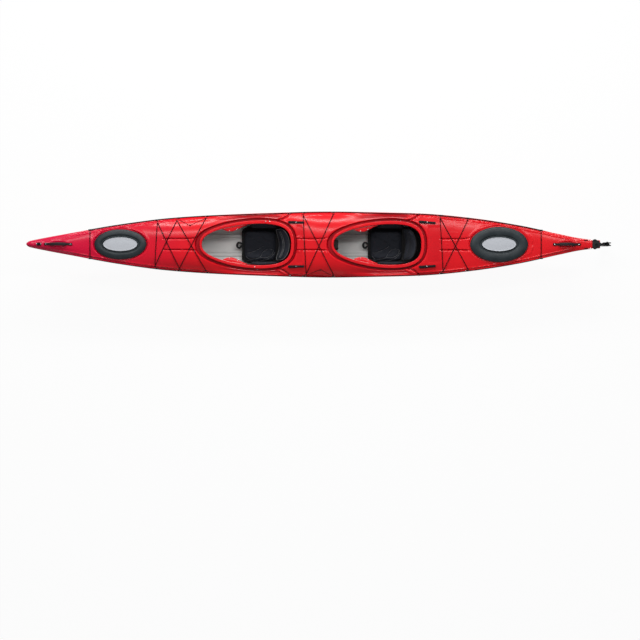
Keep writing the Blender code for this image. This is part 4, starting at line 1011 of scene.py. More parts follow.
def red_plastic():
    """Glossy moulded plastic: fine ripple, faint clouding, crimson at the bow, light scuffs."""
    f = Finish("red_moulded_plastic", (0.80, 0.011, 0.020), 0.22, Specular_IOR_Level=0.26,
               Coat_Weight=0.05, Coat_Roughness=0.12)
    along = f.node("ShaderNodeSeparateXYZ", {"Vector": f.coordinates()}).outputs[0]
    body = f.clouds(2.6, 2.0, 0.65, (0.86, 0.010, 0.017), (0.76, 0.007, 0.015))
    body = f.mix(f.span(along, -1.1, -2.6), body, (0.70, 0.004, 0.056))
    scuff = f.span(f.noise(38.0, 6.0, 0.7, scale=(0.12, 1.0, 1.0)), 0.63, 0.78)
    body = f.spots(scuff, 0.22, body, (0.90, 0.22, 0.22))
    # Painted shade: darker crimson where the deck lies down in grooves, creases and moats
    f.colour(f.spots(f.painted_crevice_shade(), 0.66, body, (0.22, 0.001, 0.008)))
    rough = f.span(f.noise(9.0, 4.0), 0.3, 0.7, 0.20, 0.26)
    f.set("Roughness", f.maths("ADD", rough, f.maths("MULTIPLY", scuff, 0.25)))
    f.bump(f.noise(160.0, 3.0), 0.05, 0.0008)
    return f.material


def pale_lining():
    """The moulding's pale grey inside, slightly speckled and less glossy than the deck."""
    f = Finish("pale_inner_plastic", (0.80, 0.80, 0.78), 0.45, Specular_IOR_Level=0.45)
    body = f.clouds(5.0, 4.0, 0.7, (0.84, 0.84, 0.82), (0.76, 0.76, 0.745), low=0.3)
    speck = f.span(f.cells(420.0), 0.0, 0.28, 1.0, 0.0)
    body = f.spots(speck, 0.35, body, (0.50, 0.50, 0.49))
    # Painted shade: darker grey along the feet of the floor's ribs
    f.colour(f.spots(f.painted_crevice_shade(), 0.60, body, (0.22, 0.22, 0.215)))
    f.patchy_gloss(30.0, 4.0, 0.38, 0.56)
    f.bump(f.noise(220.0, 4.0), 0.25, 0.0008)
    return f.material


def floor_and_backdrop():
    """White to the camera and in reflections, while still taking the object's shadow."""
    f = Finish("white_floor", (0.93, 0.93, 0.93), 0.9)
    light = f.node("ShaderNodeLightPath").outputs
    seen = f.maths("MAXIMUM", light["Is Camera Ray"], light["Is Glossy Ray"])
    seen = f.maths("MAXIMUM", seen, light["Is Transmission Ray"])
    glow = f.node("ShaderNodeEmission", {"Color": (1, 1, 1, 1), "Strength": 1.0}).outputs[0]
    mix = f.node("ShaderNodeMixShader", {0: f.maths("MULTIPLY", seen, 0.95),
                                         1: f.shader.outputs[0], 2: glow}).outputs[0]
    output = next(n for n in f.tree.nodes if n.bl_idname == "ShaderNodeOutputMaterial")
    plug(f.tree, mix, output.inputs["Surface"])
    return f.material


# Camera, light and floor

def make_camera():
    """Straight above, as in the photograph; image up is +Y. 640 pixels span 6.145 m."""
    camera = bpy.data.cameras.new("camera_above")
    camera.sensor_width = 36.0
    camera.lens = 146.4
    camera.clip_end = 200.0
    eye = bpy.data.objects.new("camera_above", camera)
    eye.location = (0.0624, -0.7270, 25.35)
    bpy.context.scene.collection.objects.link(eye)
    bpy.context.scene.camera = eye


def make_lamp(name, place, size, energy):
    """A rectangular lamp turned towards the middle of the hull."""
    lamp = bpy.data.lights.new(name, "AREA")
    lamp.shape = "RECTANGLE"
    lamp.size, lamp.size_y = size
    lamp.energy = energy
    obj = bpy.data.objects.new(name, lamp)
    obj.location = place
    aim = Vector((0.0, 0.0, 0.3)) - obj.location
    obj.rotation_euler = aim.to_track_quat("-Z", "Y").to_euler()
    bpy.context.scene.collection.objects.link(obj)


def make_stage():
    """A broad lamp up on the starboard side, a softer one above, and a white floor."""
    scene = bpy.context.scene
    scene.view_settings.view_transform = "Standard"
    make_lamp("key_lamp", (0.0, 4.9, 4.0), (9.0, 0.9), 390)
    make_lamp("top_lamp", (0.0, 2.1, 6.2), (8.0, 0.7), 165)
    make_lamp("port_fill_lamp", (0.0, -4.5, 2.2), (9.0, 0.6), 12)
    scene.world = bpy.data.worlds.new("studio")
    scene.world.use_nodes = True
    tree = scene.world.node_tree
    tree.nodes.clear()

    def node(kind, inputs=(), **settings):
        return add_node(tree, kind, inputs, **settings).outputs

    light = node("ShaderNodeLightPath")
    bright = node("ShaderNodeBackground", {"Strength": 1.0, "Color": (1, 1, 1, 1)})[0]
    dim = node("ShaderNodeBackground", {"Color": (0.93, 0.96, 1.0, 1), "Strength": 0.11})[0]
    either = node("ShaderNodeMath", {0: light["Is Camera Ray"], 1: light["Is Transmission Ray"]},
                  operation="MAXIMUM")[0]
    mirrored = node("ShaderNodeMath", {0: light["Is Glossy Ray"], 1: 0.30},
                    operation="MULTIPLY")[0]
    seen = node("ShaderNodeMath", {0: either, 1: mirrored}, operation="MAXIMUM")[0]
    mix = node("ShaderNodeMixShader", {0: seen, 1: dim, 2: bright})[0]
    node("ShaderNodeOutputWorld", {"Surface": mix})
    x, y = np.meshgrid(np.linspace(-30, 30, 3), np.linspace(-30, 30, 3))
    data = make_mesh("floor", [points_at(x, y, np.full_like(x, -0.160))], facing=(0, 0, 1))
    floor = bpy.data.objects.new("floor", data)
    data.materials.append(floor_and_backdrop())
    scene.collection.objects.link(floor)


def lid_rubber():
    """Matt dark slate rubber with a fine grain, dulled a little by handling."""
    f = Finish("dark_slate_rubber", (0.018, 0.026, 0.031), 0.42, Specular_IOR_Level=0.30)
    f.colour(f.clouds(14.0, 4.0, 0.7, (0.015, 0.022, 0.026), (0.027, 0.036, 0.041)))
    f.patchy_gloss(26.0, 5.0, 0.36, 0.52)
    f.bump(f.noise(900.0, 2.0), 0.22, 0.0004)
    f.bump(f.noise(40.0, 3.0), 0.08, 0.0015)
    return f.material


def silver_plate():
    """Satin silver-grey sheet with a fine even speckle."""
    f = Finish("satin_silver_plate", (0.52, 0.54, 0.58), 0.40, Metallic=0.10,
               Specular_IOR_Level=0.5)
    speck = f.noise(520.0, 2.0)
    f.colour(f.mix(f.span(speck, 0.35, 0.65), (0.49, 0.51, 0.55), (0.56, 0.58, 0.62)))
    f.patchy_gloss(60.0, 4.0, 0.33, 0.48)
    f.bump(speck, 0.10, 0.0003)
    return f.material


def black_plastic():
    """Moulded black plastic with a light leather-like grain and rubbed edges."""
    f = Finish("black_moulded_plastic", (0.007, 0.007, 0.008), 0.54, Specular_IOR_Level=0.16)
    wear = f.span(f.noise(55.0, 5.0, 0.65), 0.60, 0.80)
    f.colour(f.spots(wear, 0.30, (0.007, 0.007, 0.008), (0.026, 0.025, 0.025)))
    f.patchy_gloss(120.0, 3.0, 0.46, 0.62)
    f.bump(f.cells(900.0), 0.18, 0.0004)
    return f.material


def rudder_plastic():
    """Dark grey moulded plastic, slightly mottled, with fine scratches along the blade."""
    f = Finish("dark_grey_moulding", (0.014, 0.014, 0.015), 0.45, Specular_IOR_Level=0.22)
    scratch = f.span(f.noise(90.0, 6.0, 0.7, scale=(1.0, 1.0, 0.08)), 0.62, 0.80)
    body = f.clouds(30.0, 4.0, 0.7, (0.012, 0.012, 0.013), (0.021, 0.021, 0.022))
    f.colour(f.spots(scratch, 0.30, body, (0.075, 0.075, 0.075)))
    f.patchy_gloss(70.0, 4.0, 0.50, 0.66)
    f.bump(f.noise(600.0, 2.0), 0.15, 0.0004)
    return f.material


def soft_rubber():
    """Dark reddish-black grip rubber with a pebbled surface."""
    f = Finish("grip_rubber", (0.014, 0.008, 0.010), 0.60, Specular_IOR_Level=0.3)
    f.colour(f.mix(f.noise(60.0, 3.0), (0.011, 0.006, 0.008), (0.021, 0.011, 0.014)))
    f.bump(f.cells(700.0), 0.35, 0.0005)
    return f.material


def seat_cloth():
    """Near-black woven cloth: a fine basket weave, slight fading and a soft sheen."""
    f = Finish("black_seat_cloth", (0.014, 0.016, 0.023), 0.72, Sheen_Weight=0.03,
               Sheen_Roughness=0.45, Specular_IOR_Level=0.18)
    weave = f.maths("MULTIPLY", f.wave(260.0, "X"), f.wave(260.0, "Y"))
    cloud = f.noise(9.0, 5.0)
    body = f.mix(f.span(cloud, 0.35, 0.7), (0.012, 0.014, 0.021), (0.020, 0.022, 0.030))
    f.colour(f.spots(weave, 0.35, body, (0.028, 0.030, 0.037)))
    f.set("Roughness", f.span(cloud, 0.3, 0.7, 0.62, 0.80))
    f.bump(weave, 0.45, 0.0006)
    f.bump(f.noise(24.0, 3.0), 0.20, 0.004)
    return f.material


def piping_cloth():
    """Grey edging cord, twisted, patterned along the piece's own length."""
    f = Finish("grey_edging", (0.13, 0.135, 0.14), 0.75, Sheen_Weight=0.2, Specular_IOR_Level=0.3)
    twist = f.wave(140.0, "DIAGONAL", flat=True, scale=(1.0, 0.02, 1.0))
    f.colour(f.mix(twist, (0.085, 0.088, 0.092), (0.18, 0.185, 0.19)))
    f.bump(twist, 0.5, 0.0005)
    return f.material


def webbing_cloth():
    """Flat black webbing: ribs along it and a fine cross weave, on its own coordinates."""
    f = Finish("black_webbing", (0.014, 0.014, 0.015), 0.70, Sheen_Weight=0.05,
               Specular_IOR_Level=0.2)
    ribs = f.wave(7.0, "Y", flat=True)
    cross = f.wave(160.0, "X", flat=True)
    weave = f.maths("MULTIPLY", f.span(ribs, 0, 1, 0.4, 1.0), cross)
    f.colour(f.mix(weave, (0.009, 0.009, 0.010), (0.034, 0.034, 0.036)))
    f.bump(weave, 0.6, 0.0006)
    return f.material


def braided_cord(name, dark, light):
    """Braided sheath: two crossing spirals on the cord's own coordinates."""
    f = Finish(name, dark, 0.72, Sheen_Weight=0.02, Specular_IOR_Level=0.10)
    one, other = (f.wave(55.0, "DIAGONAL", flat=True, scale=(2.2, slant, 1.0))
                  for slant in (0.036, -0.036))
    braid = f.maths("MAXIMUM", one, other)
    fleck = f.span(f.noise(90.0, 2.0, flat=True, scale=(1.0, 0.03, 1.0)), 0.60, 0.72)
    body = f.mix(f.span(braid, 0.3, 0.9), tuple(0.45 * c for c in dark), dark)
    f.colour(f.spots(fleck, 0.5, body, light))
    f.bump(braid, 0.6, 0.0005)
    return f.material


def cell_foam():
    """Closed-cell foam: fine pores and slightly uneven colour."""
    dark = (0.012, 0.011, 0.010)
    f = Finish("dark_cell_foam", dark, 0.85, Specular_IOR_Level=0.25)
    pores = f.cells(520.0)
    f.colour(f.clouds(35.0, 4.0, 0.7, dark, (0.020, 0.019, 0.018), low=0.3))
    f.bump(pores, 0.5, 0.0007)
    f.bump(f.noise(18.0, 3.0), 0.15, 0.003)
    return f.material


def sealant():
    """Grey mastic, smoothed by a finger and a little lumpy."""
    f = Finish("grey_sealant", (0.30, 0.30, 0.31), 0.45, Specular_IOR_Level=0.5)
    f.colour(f.mix(f.noise(40.0, 3.0), (0.25, 0.25, 0.26), (0.38, 0.38, 0.39)))
    f.bump(f.noise(60.0, 3.0), 0.3, 0.001)
    return f.material


def metal(name, colour, rough, stretch=(1.0, 1.0, 1.0)):
    """Drawn metal: fine lines along one direction and small dull patches."""
    f = Finish(name, colour, rough, Metallic=1.0)
    lines = f.noise(300.0, 3.0, scale=stretch)
    f.colour(f.mix(f.span(lines, 0.3, 0.7), tuple(0.86 * c for c in colour), colour))
    f.patchy_gloss(50.0, 4.0, rough - 0.07, rough + 0.10)
    f.bump(lines, 0.12, 0.0002)
    return f.material


def make_finishes():
    FINISHES.update({
        "red": red_plastic(), "lining": pale_lining(), "lid": lid_rubber(),
        "plate": silver_plate(), "black": black_plastic(), "rudder": rudder_plastic(),
        "rubber": soft_rubber(), "fabric": seat_cloth(), "piping": piping_cloth(),
        "webbing": webbing_cloth(),
        "braid": braided_cord("black_braided_line", (0.012, 0.005, 0.006), (0.034, 0.020, 0.022)),
        # The elastic cord is black; its dark red colour is a painted reflection of the red deck
        "elastic": braided_cord("dark_elastic_cord", (0.024, 0.003, 0.004), (0.070, 0.008, 0.010)),
        "foam": cell_foam(), "sealant": sealant(),
        "rail": metal("drawn_aluminium", (0.66, 0.67, 0.68), 0.32, (0.04, 1.0, 1.0)),
        "steel": metal("stainless_steel", (0.72, 0.72, 0.72), 0.24),
        "dark_steel": metal("blackened_steel", (0.040, 0.040, 0.042), 0.45),
    })


# Deck fittings

def edge_places(x, side):
    """Places just inside the sheer line at each x, and the deck's upward normals there."""
    x = np.asarray(x, float)
    y = edge_half_width(x) * (1 - EYE_INSET)
    z = deck_surface(x, y)
    slope = (deck_surface(x, y + 0.002) - deck_surface(x, y - 0.004)) / 0.006
    normal = np.stack([np.zeros_like(x), -side * slope, np.ones_like(x)], axis=-1)
    normal /= np.linalg.norm(normal, axis=-1, keepdims=True)
    return points_at(x, side * y, z), normal


def deck_points(x, y, lift):
    """Points over the plain deck, so that a taut cord bridges its grooves."""
    return points_at(x, y, deck_height(x, y) + lift)


def rounded_route(corners, radius, spacing=0.012):
    """An open plan route with its corners cut by quadratic arcs, at even spacing."""
    corners = np.asarray(corners, float)
    parts = [corners[:1]]
    t = np.linspace(0, 1, 9)[:, None]
    for before, here, after in zip(corners, corners[1:], corners[2:]):
        start, end = (here + (other - here) * radius / np.linalg.norm(other - here)
                      for other in (before, after))
        parts.append(arc(start, here, end, t))
    route = np.vstack(parts + [corners[-1:]])
    return even_places(route, max(int(length_along(route)[-1] / spacing), 12))


def screw_grids(radius):
    """A pan-head screw: a low dome with a cross-shaped recess, about the origin."""
    turn = np.linspace(0, 2 * math.pi, 25)
    size, height, recess = np.array([
        [0, 0.35, 0.62, 0.82, 0.95, 1.0, 1.0, 0],
        [0.50, 0.50, 0.46, 0.36, 0.20, 0.08, -0.25, -0.25],
        [1, 1, 0.6, 0, 0, 0, 0, 0]])[:, :, None]
    cross = np.clip(np.abs(np.cos(2 * turn)) ** 6, 0, 1) * recess
    size, z = size * radius, height * radius - 0.30 * radius * cross
    return points_at(size * np.cos(turn), size * np.sin(turn), z)


def eye_grids():
    """A saddle eye about the origin: an oval foot plate with a round loop standing across it."""
    foot = slab(superellipse(0.021, 0.007, 3.2, 32), 0.0, 0.0026, 0.0010)
    turn = np.linspace(-0.25, math.pi + 0.25, 17)
    arch = points_at(0, 0.0052 * np.cos(turn), 0.0022 + 0.0056 * np.sin(turn))
    loop = sweep(arch, superellipse(0.0030, 0.0017, 2.6, 12), up=(1, 0, 0))
    return [foot, loop]


def surface_spot(obj, start, direction):
    """Where a straight line from start first meets a piece, and the surface's normal there."""
    _, place, normal, _ = obj.ray_cast(Vector(start), Vector(direction))
    return np.array(place), np.array(normal)


def make_moulding_screws(deck_piece, side_piece, screws):
    """Screws that hold the braces to the rims, and the rails to the hull's sides."""
    bpy.context.view_layer.update()
    for x, y in RIM_SCREWS:
        screws.append(surface_spot(deck_piece, (x, y, 0.6), (0, 0, -1)))
    for ends in FOOT_RAILS.values():
        for x, z in ends:
            for side in (-1, 1):
                screws.append(surface_spot(side_piece, (x, side, z), (0, -side, 0)))


def make_screws(screws):
    """Every screw head, from its place and the direction that it looks in."""
    grids = [placed(screw_grids(0.0052), place, normal) for place, normal in screws]
    build("deck_screws", grids, "steel", "steel")


def make_perimeter_lines(screws):
    """The safety line along each edge and the eyes that it runs through."""
    for side_name, side in SIDES:
        x = np.linspace(DECK_EYES[0] - 0.012, DECK_EYES[-1] + 0.012, 260)
        place, normal = edge_places(x, side)
        path = place + normal * (LINE_RADIUS + 0.0030)
        line = build_tubes(f"{side_name}_safety_line", [tube(path, LINE_RADIUS, 10)], "braid",
                           "cord", stands_for=(f"{side_name}_perimeter_line",))
        grids = []
        for spot, up in zip(*edge_places(np.array(DECK_EYES), side)):
            grids += [placed(g, spot - up * 0.0006, up) for g in eye_grids()]
            for shift in (-0.0145, 0.0145):
                foot, lean = edge_places(spot[0] + shift, side)
                screws.append((foot + lean * 0.0022, lean))
        build(f"{side_name}_deck_eyes", grids, "black", "fitting_plastic")


def eye_corner(index, side, shift=0.0):
    """Where a lacing turns round the eye of that index, moved along the hull by a shift."""
    x = DECK_EYES[index] + shift
    return float(x), side * (float(edge_half_width(np.array(x))) - 0.026)


def make_lacing(name, node, eyes, hooks):
    """Elastic cord laced over the deck; where two runs cross, the later passes over."""
    corners = np.array([eye_corner(*eye) for eye in eyes])
    route = rounded_route(corners, 0.007)
    x, y = route.T
    path = deck_points(x, y, LINE_RADIUS + 0.0030)
    if len(corners) > 2:
        slanted, middle = np.abs(np.gradient(x)) > 0.002, np.abs(y) < 0.04
        later = np.arange(len(route)) > len(route) // 2
        path[:, 2] += LINE_LIFT * hill(y, 0.020) * (slanted & later & middle)
    cord = build_tubes(name, [tube(path, LINE_RADIUS, 10)], "elastic", "cord", stands_for=(node,))
    hooks += [tuple(corner) for corner in corners]


def make_slack_loop(name, points):
    """A short slack cord lying on the deck between two eyes, with a round bead at its bend."""
    points = np.array(points)
    route = rounded_route(points, 0.012, 0.006)
    run = length_along(route)
    path = deck_points(route[:, 0], route[:, 1], 0.0022)
    path[:, 2] += 0.004 * (hill(run / run[-1], 0.06) + hill(run / run[-1] - 1, 0.06))
    cord = build_tubes(name, [tube(path, SLACK_RADIUS, 8)], "elastic", "cord")
    middle = path[np.argmin(np.abs(run - length_along(points)[1]))]
    ball = [(0.0065 * math.sin(a), 0.0065 * math.cos(a)) for a in np.linspace(0, math.pi, 13)]
    bead = build(f"{name}_bead", [placed(lathe(ball, 18), middle + (0, 0, 0.0044))], "black",
                 "fitting_plastic")


# Lacings: the CAD's node, then each eye that the cord turns at, as its index, side and shift
LACINGS = {
    "bow_cross_line": ("bow_deck_line", (0, -1), (0, 1)),
    "front_elastic_lacing": ("front_deck_lacing", (3, 1, -0.012), (2, -1, 0.012), (1, 1, 0.012),
                             (1, -1, -0.012), (2, 1, -0.012), (3, -1, -0.012)),
    "middle_elastic_lacing": ("middle_deck_lacing", (5, 1), (4, -1, 0.018), (4, 1, -0.012),
                              (5, -1)),
    "aft_elastic_lacing": ("aft_deck_lacing", (7, 1), (6, -1, 0.018), (6, 1, -0.012), (7, -1)),
    "stern_cross_line": ("stern_deck_line", (8, -1), (8, 1)),
}
# Slack cords: the eyes at both ends and the place of the bead between them
SLACK_CORDS = {
    "starboard_slack_cord": ((2, 1, 0.010), (-1.186, 0.180), (3, 1, -0.016)),
    "port_slack_cord": ((4, -1, 0.036), (0.068, -0.242), (5, -1, -0.033)),
}


def make_deck_cords():
    """Bow and stern lines, and the elastic lacings in front of and behind each cockpit."""
    hooks = []
    for name, (node, *eyes) in LACINGS.items():
        make_lacing(name, node, eyes, hooks)
    for name, (start, bend, end) in SLACK_CORDS.items():
        make_slack_loop(name, [eye_corner(*start), bend, eye_corner(*end)])
    grids = []
    for x, y in hooks:
        place = deck_points(np.array(x), np.array(y), 0.0004)
        grids += [placed(g * (0.62, 0.8, 0.9), place) for g in eye_grids()]
    build("lacing_hooks", grids, "black", "fitting_plastic")


def make_carry_handle(end_name, start, end, screws):
    """Webbing between two screwed end caps, arched up through a rubber grip."""
    along = np.linspace(0, 1, 61)
    x = start + (end - start) * along
    bulge = np.sin(math.pi * np.clip((along - 0.15) / 0.7, 0, 1))
    z = deck_height(x, 0 * x) + 0.0035 + 0.017 * bulge**0.7 + (0.004 + 0.012 * bulge) / 2
    path = points_at(x, 0 * x, z)
    build_tubes(f"{end_name}_handle_webbing", [strap(path, superellipse(0.0105, 0.0015, 6, 20))],
                "webbing", "webbing", stands_for=(f"{end_name}_carry_handle",))
    held = (along > 0.20) & (along < 0.80)
    share = (along[held] - 0.20) / 0.60
    ends = np.clip(np.minimum(share, 1 - share) / 0.05, 0, 1) ** 0.5
    waist = 0.86 + 0.14 * np.sin(math.pi * share)
    ribs = 1 + 0.03 * np.sin(2 * math.pi * 14 * share)
    size = ((0.45 + 0.55 * ends) * waist * ribs)[:, None, None]
    grip = sweep(path[held], superellipse(0.0168, 0.0085, 2.8, 28)[None] * size)
    build(f"{end_name}_handle_grip", [grip], "rubber", "webbing")
    caps = []
    for at in (start + 0.014, end - 0.014):
        spot = points_at(np.array(at), np.array(0.0), deck_height(np.array(at), 0.0) + 0.0006)
        cap = slab(superellipse(0.0165, 0.0125, 2.6, 36), 0.0, 0.0075, 0.0030, 6)
        caps.append(placed(cap, spot))
        screws.append((spot + (0, 0, 0.0072), (0, 0, 1)))
    build(f"{end_name}_handle_ends", caps, "black", "fitting_plastic")


def make_bow_fitting(screws):
    """A small moulded plate ahead of the bow handle, its eye, and a thin upright pin."""
    x = -2.626
    z = float(deck_height(np.array(x), np.array(0.0))) + 0.0022
    plate = placed(slab(superellipse(0.0250, 0.0150, 2.4, 36), 0, 0.0085, 0.003, 6), (x, 0, z))
    turn = np.linspace(-0.2, math.pi + 0.2, 21)
    arch = points_at(-0.006 + 0.009 * np.cos(turn), 0, 0.0075 + 0.011 * np.sin(turn))
    eye = sweep(arch + (x, 0, z), superellipse(0.0036, 0.0028, 2.4, 14), up=(0, 1, 0))
    pin = [(0, 0.0275), (0.0014, 0.0272), (0.0020, 0.0262), (0.0020, 0.0), (0, 0)]
    build("bow_tow_eye", [plate, eye, placed(lathe(pin, 16), (x + 0.015, 0, z))], "black",
          "fitting_plastic", stands_for=("bow_tow_fitting",))
    for shift in (-0.018, 0.018):
        screws.append(((x + shift, 0, z + 0.0080), (0, 0, 1)))


def make_deck_straps(screws):
    """The short moulded straps beside the back of each cockpit, one screw in each."""
    for seat, (start, end, slant) in DECK_STRAPS.items():
        for side_name, side in SIDES:
            along = np.linspace(0, 1, 40)
            x = start + (end - start) * along
            y = side * (0.212 + slant * (0.5 - along))
            half = 0.0126 - 0.0022 * ease(along, 0.40, 0.52)
            half *= np.clip(np.minimum(along, 1 - along) / 0.045, 0.35, 1) ** 0.5
            thick = 0.0045 - 0.0010 * ease(along, 0.40, 0.52)
            shape = superellipse(1, 1, 3.6, 24)[None] * np.stack([half, thick], axis=-1)[:, None]
            path = deck_points(x, y, 0.0030 + thick + 0.0015 * np.sin(along * math.pi))
            build(f"{seat}_{side_name}_strap_anchor", [sweep(path, shape)], "black",
                  "fitting_plastic", stands_for=(f"{seat}_{side_name}_deck_strap",))
            screws.append((path[19] + (0, 0, thick[19] * 0.9), (0, 0, 1)))


# Hatches

def oval_rings(hatch, profile):
    """Rings of (half length, half width, height over the hatch's plane) about its centre."""
    turn = np.linspace(0, 2 * math.pi, 97)
    long, wide, above = np.array(profile, float).T[..., None]
    x = HATCHES[hatch]["centre"] - long * np.cos(turn)
    return points_at(x, wide * np.sin(turn), hatch_plane(hatch, x, above))


def make_hatch(hatch):
    """A domed rubber lid that caps the rim, and the bare oval plate in its raised ring."""
    spec = HATCHES[hatch]
    lid = lambda inset, above: (spec["half_length"] - inset, spec["half_width"] - inset, above)
    oval = lambda out, above: (PLATE_HALF[0] + out, PLATE_HALF[1] + out, above)
    skirt = [(0.050, 0.0105), (0.031, 0.0105), (0.0268, 0.0058), (0.0245, 0.0050),
             (0.0140, 0.0048), (0.0118, 0.0036), (0.0108, -0.0070), (0.0100, -0.0090),
             (0.0030, -0.0095), (0.0010, -0.0090), (0.0, -0.0070), (-0.0006, -0.0040),
             (-0.0004, 0.0005), (0.0002, 0.0030), (0.0020, 0.0058), (0.0050, 0.0086),
             (0.0100, 0.0116), (0.0170, 0.0146), (0.0260, 0.0172), (0.0350, 0.0188),
             (0.0430, 0.0192)]
    ring = [(0.030, 0.0190), (0.0255, 0.0172), (0.0225, 0.0136), (0.0200, 0.0106),
            (0.0170, 0.0096), (0.0130, 0.0096), (0.0105, 0.0112), (0.0085, 0.0150),
            (0.0070, 0.0176), (0.0052, 0.0188), (0.0038, 0.0186), (0.0026, 0.0172),
            (0.0020, 0.0156), (0.0018, 0.0146)]
    cover = [(0, 0, 0.0105), *(lid(*p) for p in skirt), *(oval(*p) for p in ring), (0, 0, 0.0146)]
    edge = [(-0.0002, 0.0149), (0.0006, 0.0156), (0.0006, 0.0166), (-0.0002, 0.0174),
            (-0.0012, 0.0177), (-0.0036, 0.0177), (-0.0044, 0.0172), (-0.0060, 0.0171),
            (-0.020, 0.0174), (-0.045, 0.0177)]
    face = [(0, 0, 0.0149), *(oval(*p) for p in edge), (0.080, 0.012, 0.0178), (0, 0, 0.0179)]
    build(f"{hatch}_cover", [oval_rings(hatch, cover)], "lid", "hatch_rubber", hatch,
          stands_for=(f"{hatch}_lid",), sharp=50)
    build(f"{hatch}_face_plate", [oval_rings(hatch, face)], "plate", "hatch_plate", hatch,
          stands_for=(f"{hatch}_plate",), sharp=50)


# Inside the hull

def inner_ring_at(lining, x, clearance):
    """The lining's section at x, between its two nearest stations, moved inwards."""
    xs, inner = lining
    i = int(np.clip(np.searchsorted(xs, x) - 1, 0, len(xs) - 2))
    t = (x - xs[i]) / (xs[i + 1] - xs[i])
    ring = ((1 - t) * inner[i] + t * inner[i + 1])[None, :, 1:]
    moved = inwards(ring, clearance)[0]
    return np.column_stack([np.full(len(moved), x), moved])


def half_width_inside(lining, x, z):
    """Half width inside the hull at a height, read from the lining's section."""
    ring = inner_ring_at(lining, x, 0.0)
    side = ring[ring[:, 1] > 0]
    low = side[side[:, 2] < float(sheer_height(np.array(x))) - 0.002]
    order = np.argsort(low[:, 2])
    return float(np.interp(z, low[order, 2], low[order, 1]))


def make_bulkheads(lining):
    """Closed-cell foam walls with eased edges, bedded in a bead of sealant on both faces."""
    thick = BULKHEAD_THICK
    edge = ((0, 0.006), (0, 0.0042), (0.0008, 0.0026), (0.0024, 0.0018))
    for name, x in BULKHEADS.items():
        rings = [inner_ring_at(lining, x + at, clear) for at, clear in edge]
        rings += [inner_ring_at(lining, x + (thick - at), clear) for at, clear in edge[::-1]]
        build(f"{name}_wall", [capped(rings)], "foam", "bulkhead_foam", stands_for=(name,),
              sharp=60)
        grids = []
        for face, out in ((x, -1), (x + thick, 1)):
            middle = inner_ring_at(lining, face, 0.0)
            inward = inner_ring_at(lining, face, 1.0) - middle
            grids.append(closed_rings([
                middle + inward * (0.0035 + 0.0030 * math.cos(a))
                + np.array((out * 0.0028 * (1 + math.sin(a)) - out * 0.0010, 0, 0))
                for a in np.linspace(0, 2 * math.pi, 9)]))
        build(f"{name}_sealant", grids, "sealant", "bulkhead_foam", sharp=60)


def make_pillar(lining):
    """The foam post between the paddlers: a rounded block, lower where the feet pass."""
    x = np.array([-0.045, -0.0445, -0.042, -0.03, 0.0, 0.04, 0.064, 0.072, 0.080, 0.088, 0.13,
                  0.19, 0.23, 0.2365, 0.2385, 0.239])
    ease_in = np.concatenate([[0.012, 0.006, 0.002], np.zeros(10), [0.002, 0.006, 0.012]])
    high = deck_height(x, np.full_like(x, PILLAR_HALF_WIDTH)) - WALL - 0.004
    share = ease(x, 0.066, 0.088)
    top = high + (np.minimum(PILLAR_LOW_TOP, high) - high) * share - ease_in
    rings = []
    for at, height, soft in zip(x, top, ease_in):
        half = PILLAR_HALF_WIDTH - soft
        floor = inner_ring_at(lining, at, 0.0012)
        low = floor[floor[:, 2] < 0.2]
        low = low[np.argsort(low[:, 1])]
        y = half * np.array([1, 1, 0.97, 0.88, 0.6, 0, -0.6, -0.88, -0.97, -1, -1])
        z = height - 0.006 * np.array([2.2, 0.9, 0.25, 0, 0, 0, 0, 0, 0.25, 0.9, 2.2])
        under_y = half * np.linspace(-1, 1, 9)
        under_z = np.interp(under_y, low[:, 1], low[:, 2]) + 0.001 + soft
        rings.append(np.column_stack([np.full(20, at), np.concatenate([y, under_y]),
                                      np.concatenate([z, under_z])]))
    build("middle_post", [capped(rings)], "foam", "bulkhead_foam", stands_for=("centre_pillar",),
          sharp=50)


def conduit_route(lining, side):
    """Along the inside of the hull, rising slowly from the pillar to the stern."""
    x = np.linspace(0.090, 2.500, 34)
    z = 0.150 + 0.120 * ease(x, 0.2, 2.5)
    y = [max(half_width_inside(lining, a, b) - 0.0085, 0.010) for a, b in zip(x, z)]
    return points_at(x, side * np.array(y), z)


def make_conduits(lining):
    """Plastic tubes that lead the steering cables aft along the inside of the hull."""
    for side_name, side in SIDES:
        build_tubes(f"{side_name}_cable_conduit",
                    [tube(conduit_route(lining, side), CONDUIT_RADIUS, 12)], "black",
                    "fitting_plastic", stands_for=(f"{side_name}_steering_conduit",))


def make_thigh_braces(screws):
    """Red moulded plates under each rim that bulge into the opening for the thighs."""
    for cockpit in COCKPITS:
        seat = cockpit.split("_")[0]
        for side_name, side in SIDES:
            along = np.linspace(0, 1, 34)
            x = COCKPITS[cockpit]["centre"] - 0.225 + 0.225 * along
            outer = egg_half_width(cockpit, x) - 0.0022
            bulge = 0.008 + 0.036 * np.sin(math.pi * along**0.75) ** 1.5
            inner_y = outer - bulge
            z = smooth_curve(CROWN, x) - 0.0125
            share = np.array([0, 0, 0.15, 0.45, 0.80, 0.95, 1.0, 1.03, 1.0, 0.9, 0.5, 0.1])
            drop = np.array([0.006, 0.0008, 0, 0.0006, 0.0030, 0.0052, 0.0085, 0.0140, 0.0175,
                             0.0175, 0.0110, 0.0070])
            y = outer[:, None] - (outer - inner_y)[:, None] * share
            rings = points_at(x[:, None], side * y, z[:, None] - drop)
            build(f"{seat}_{side_name}_knee_brace", [capped(rings)], "red", "hull_red",
                  stands_for=(f"{seat}_{side_name}_thigh_brace",), sharp=50)
            for at in (9, 20):
                screws.append((rings[at, 4] + (0, 0, 0.0002), (0, -side * 0.2, 1)))


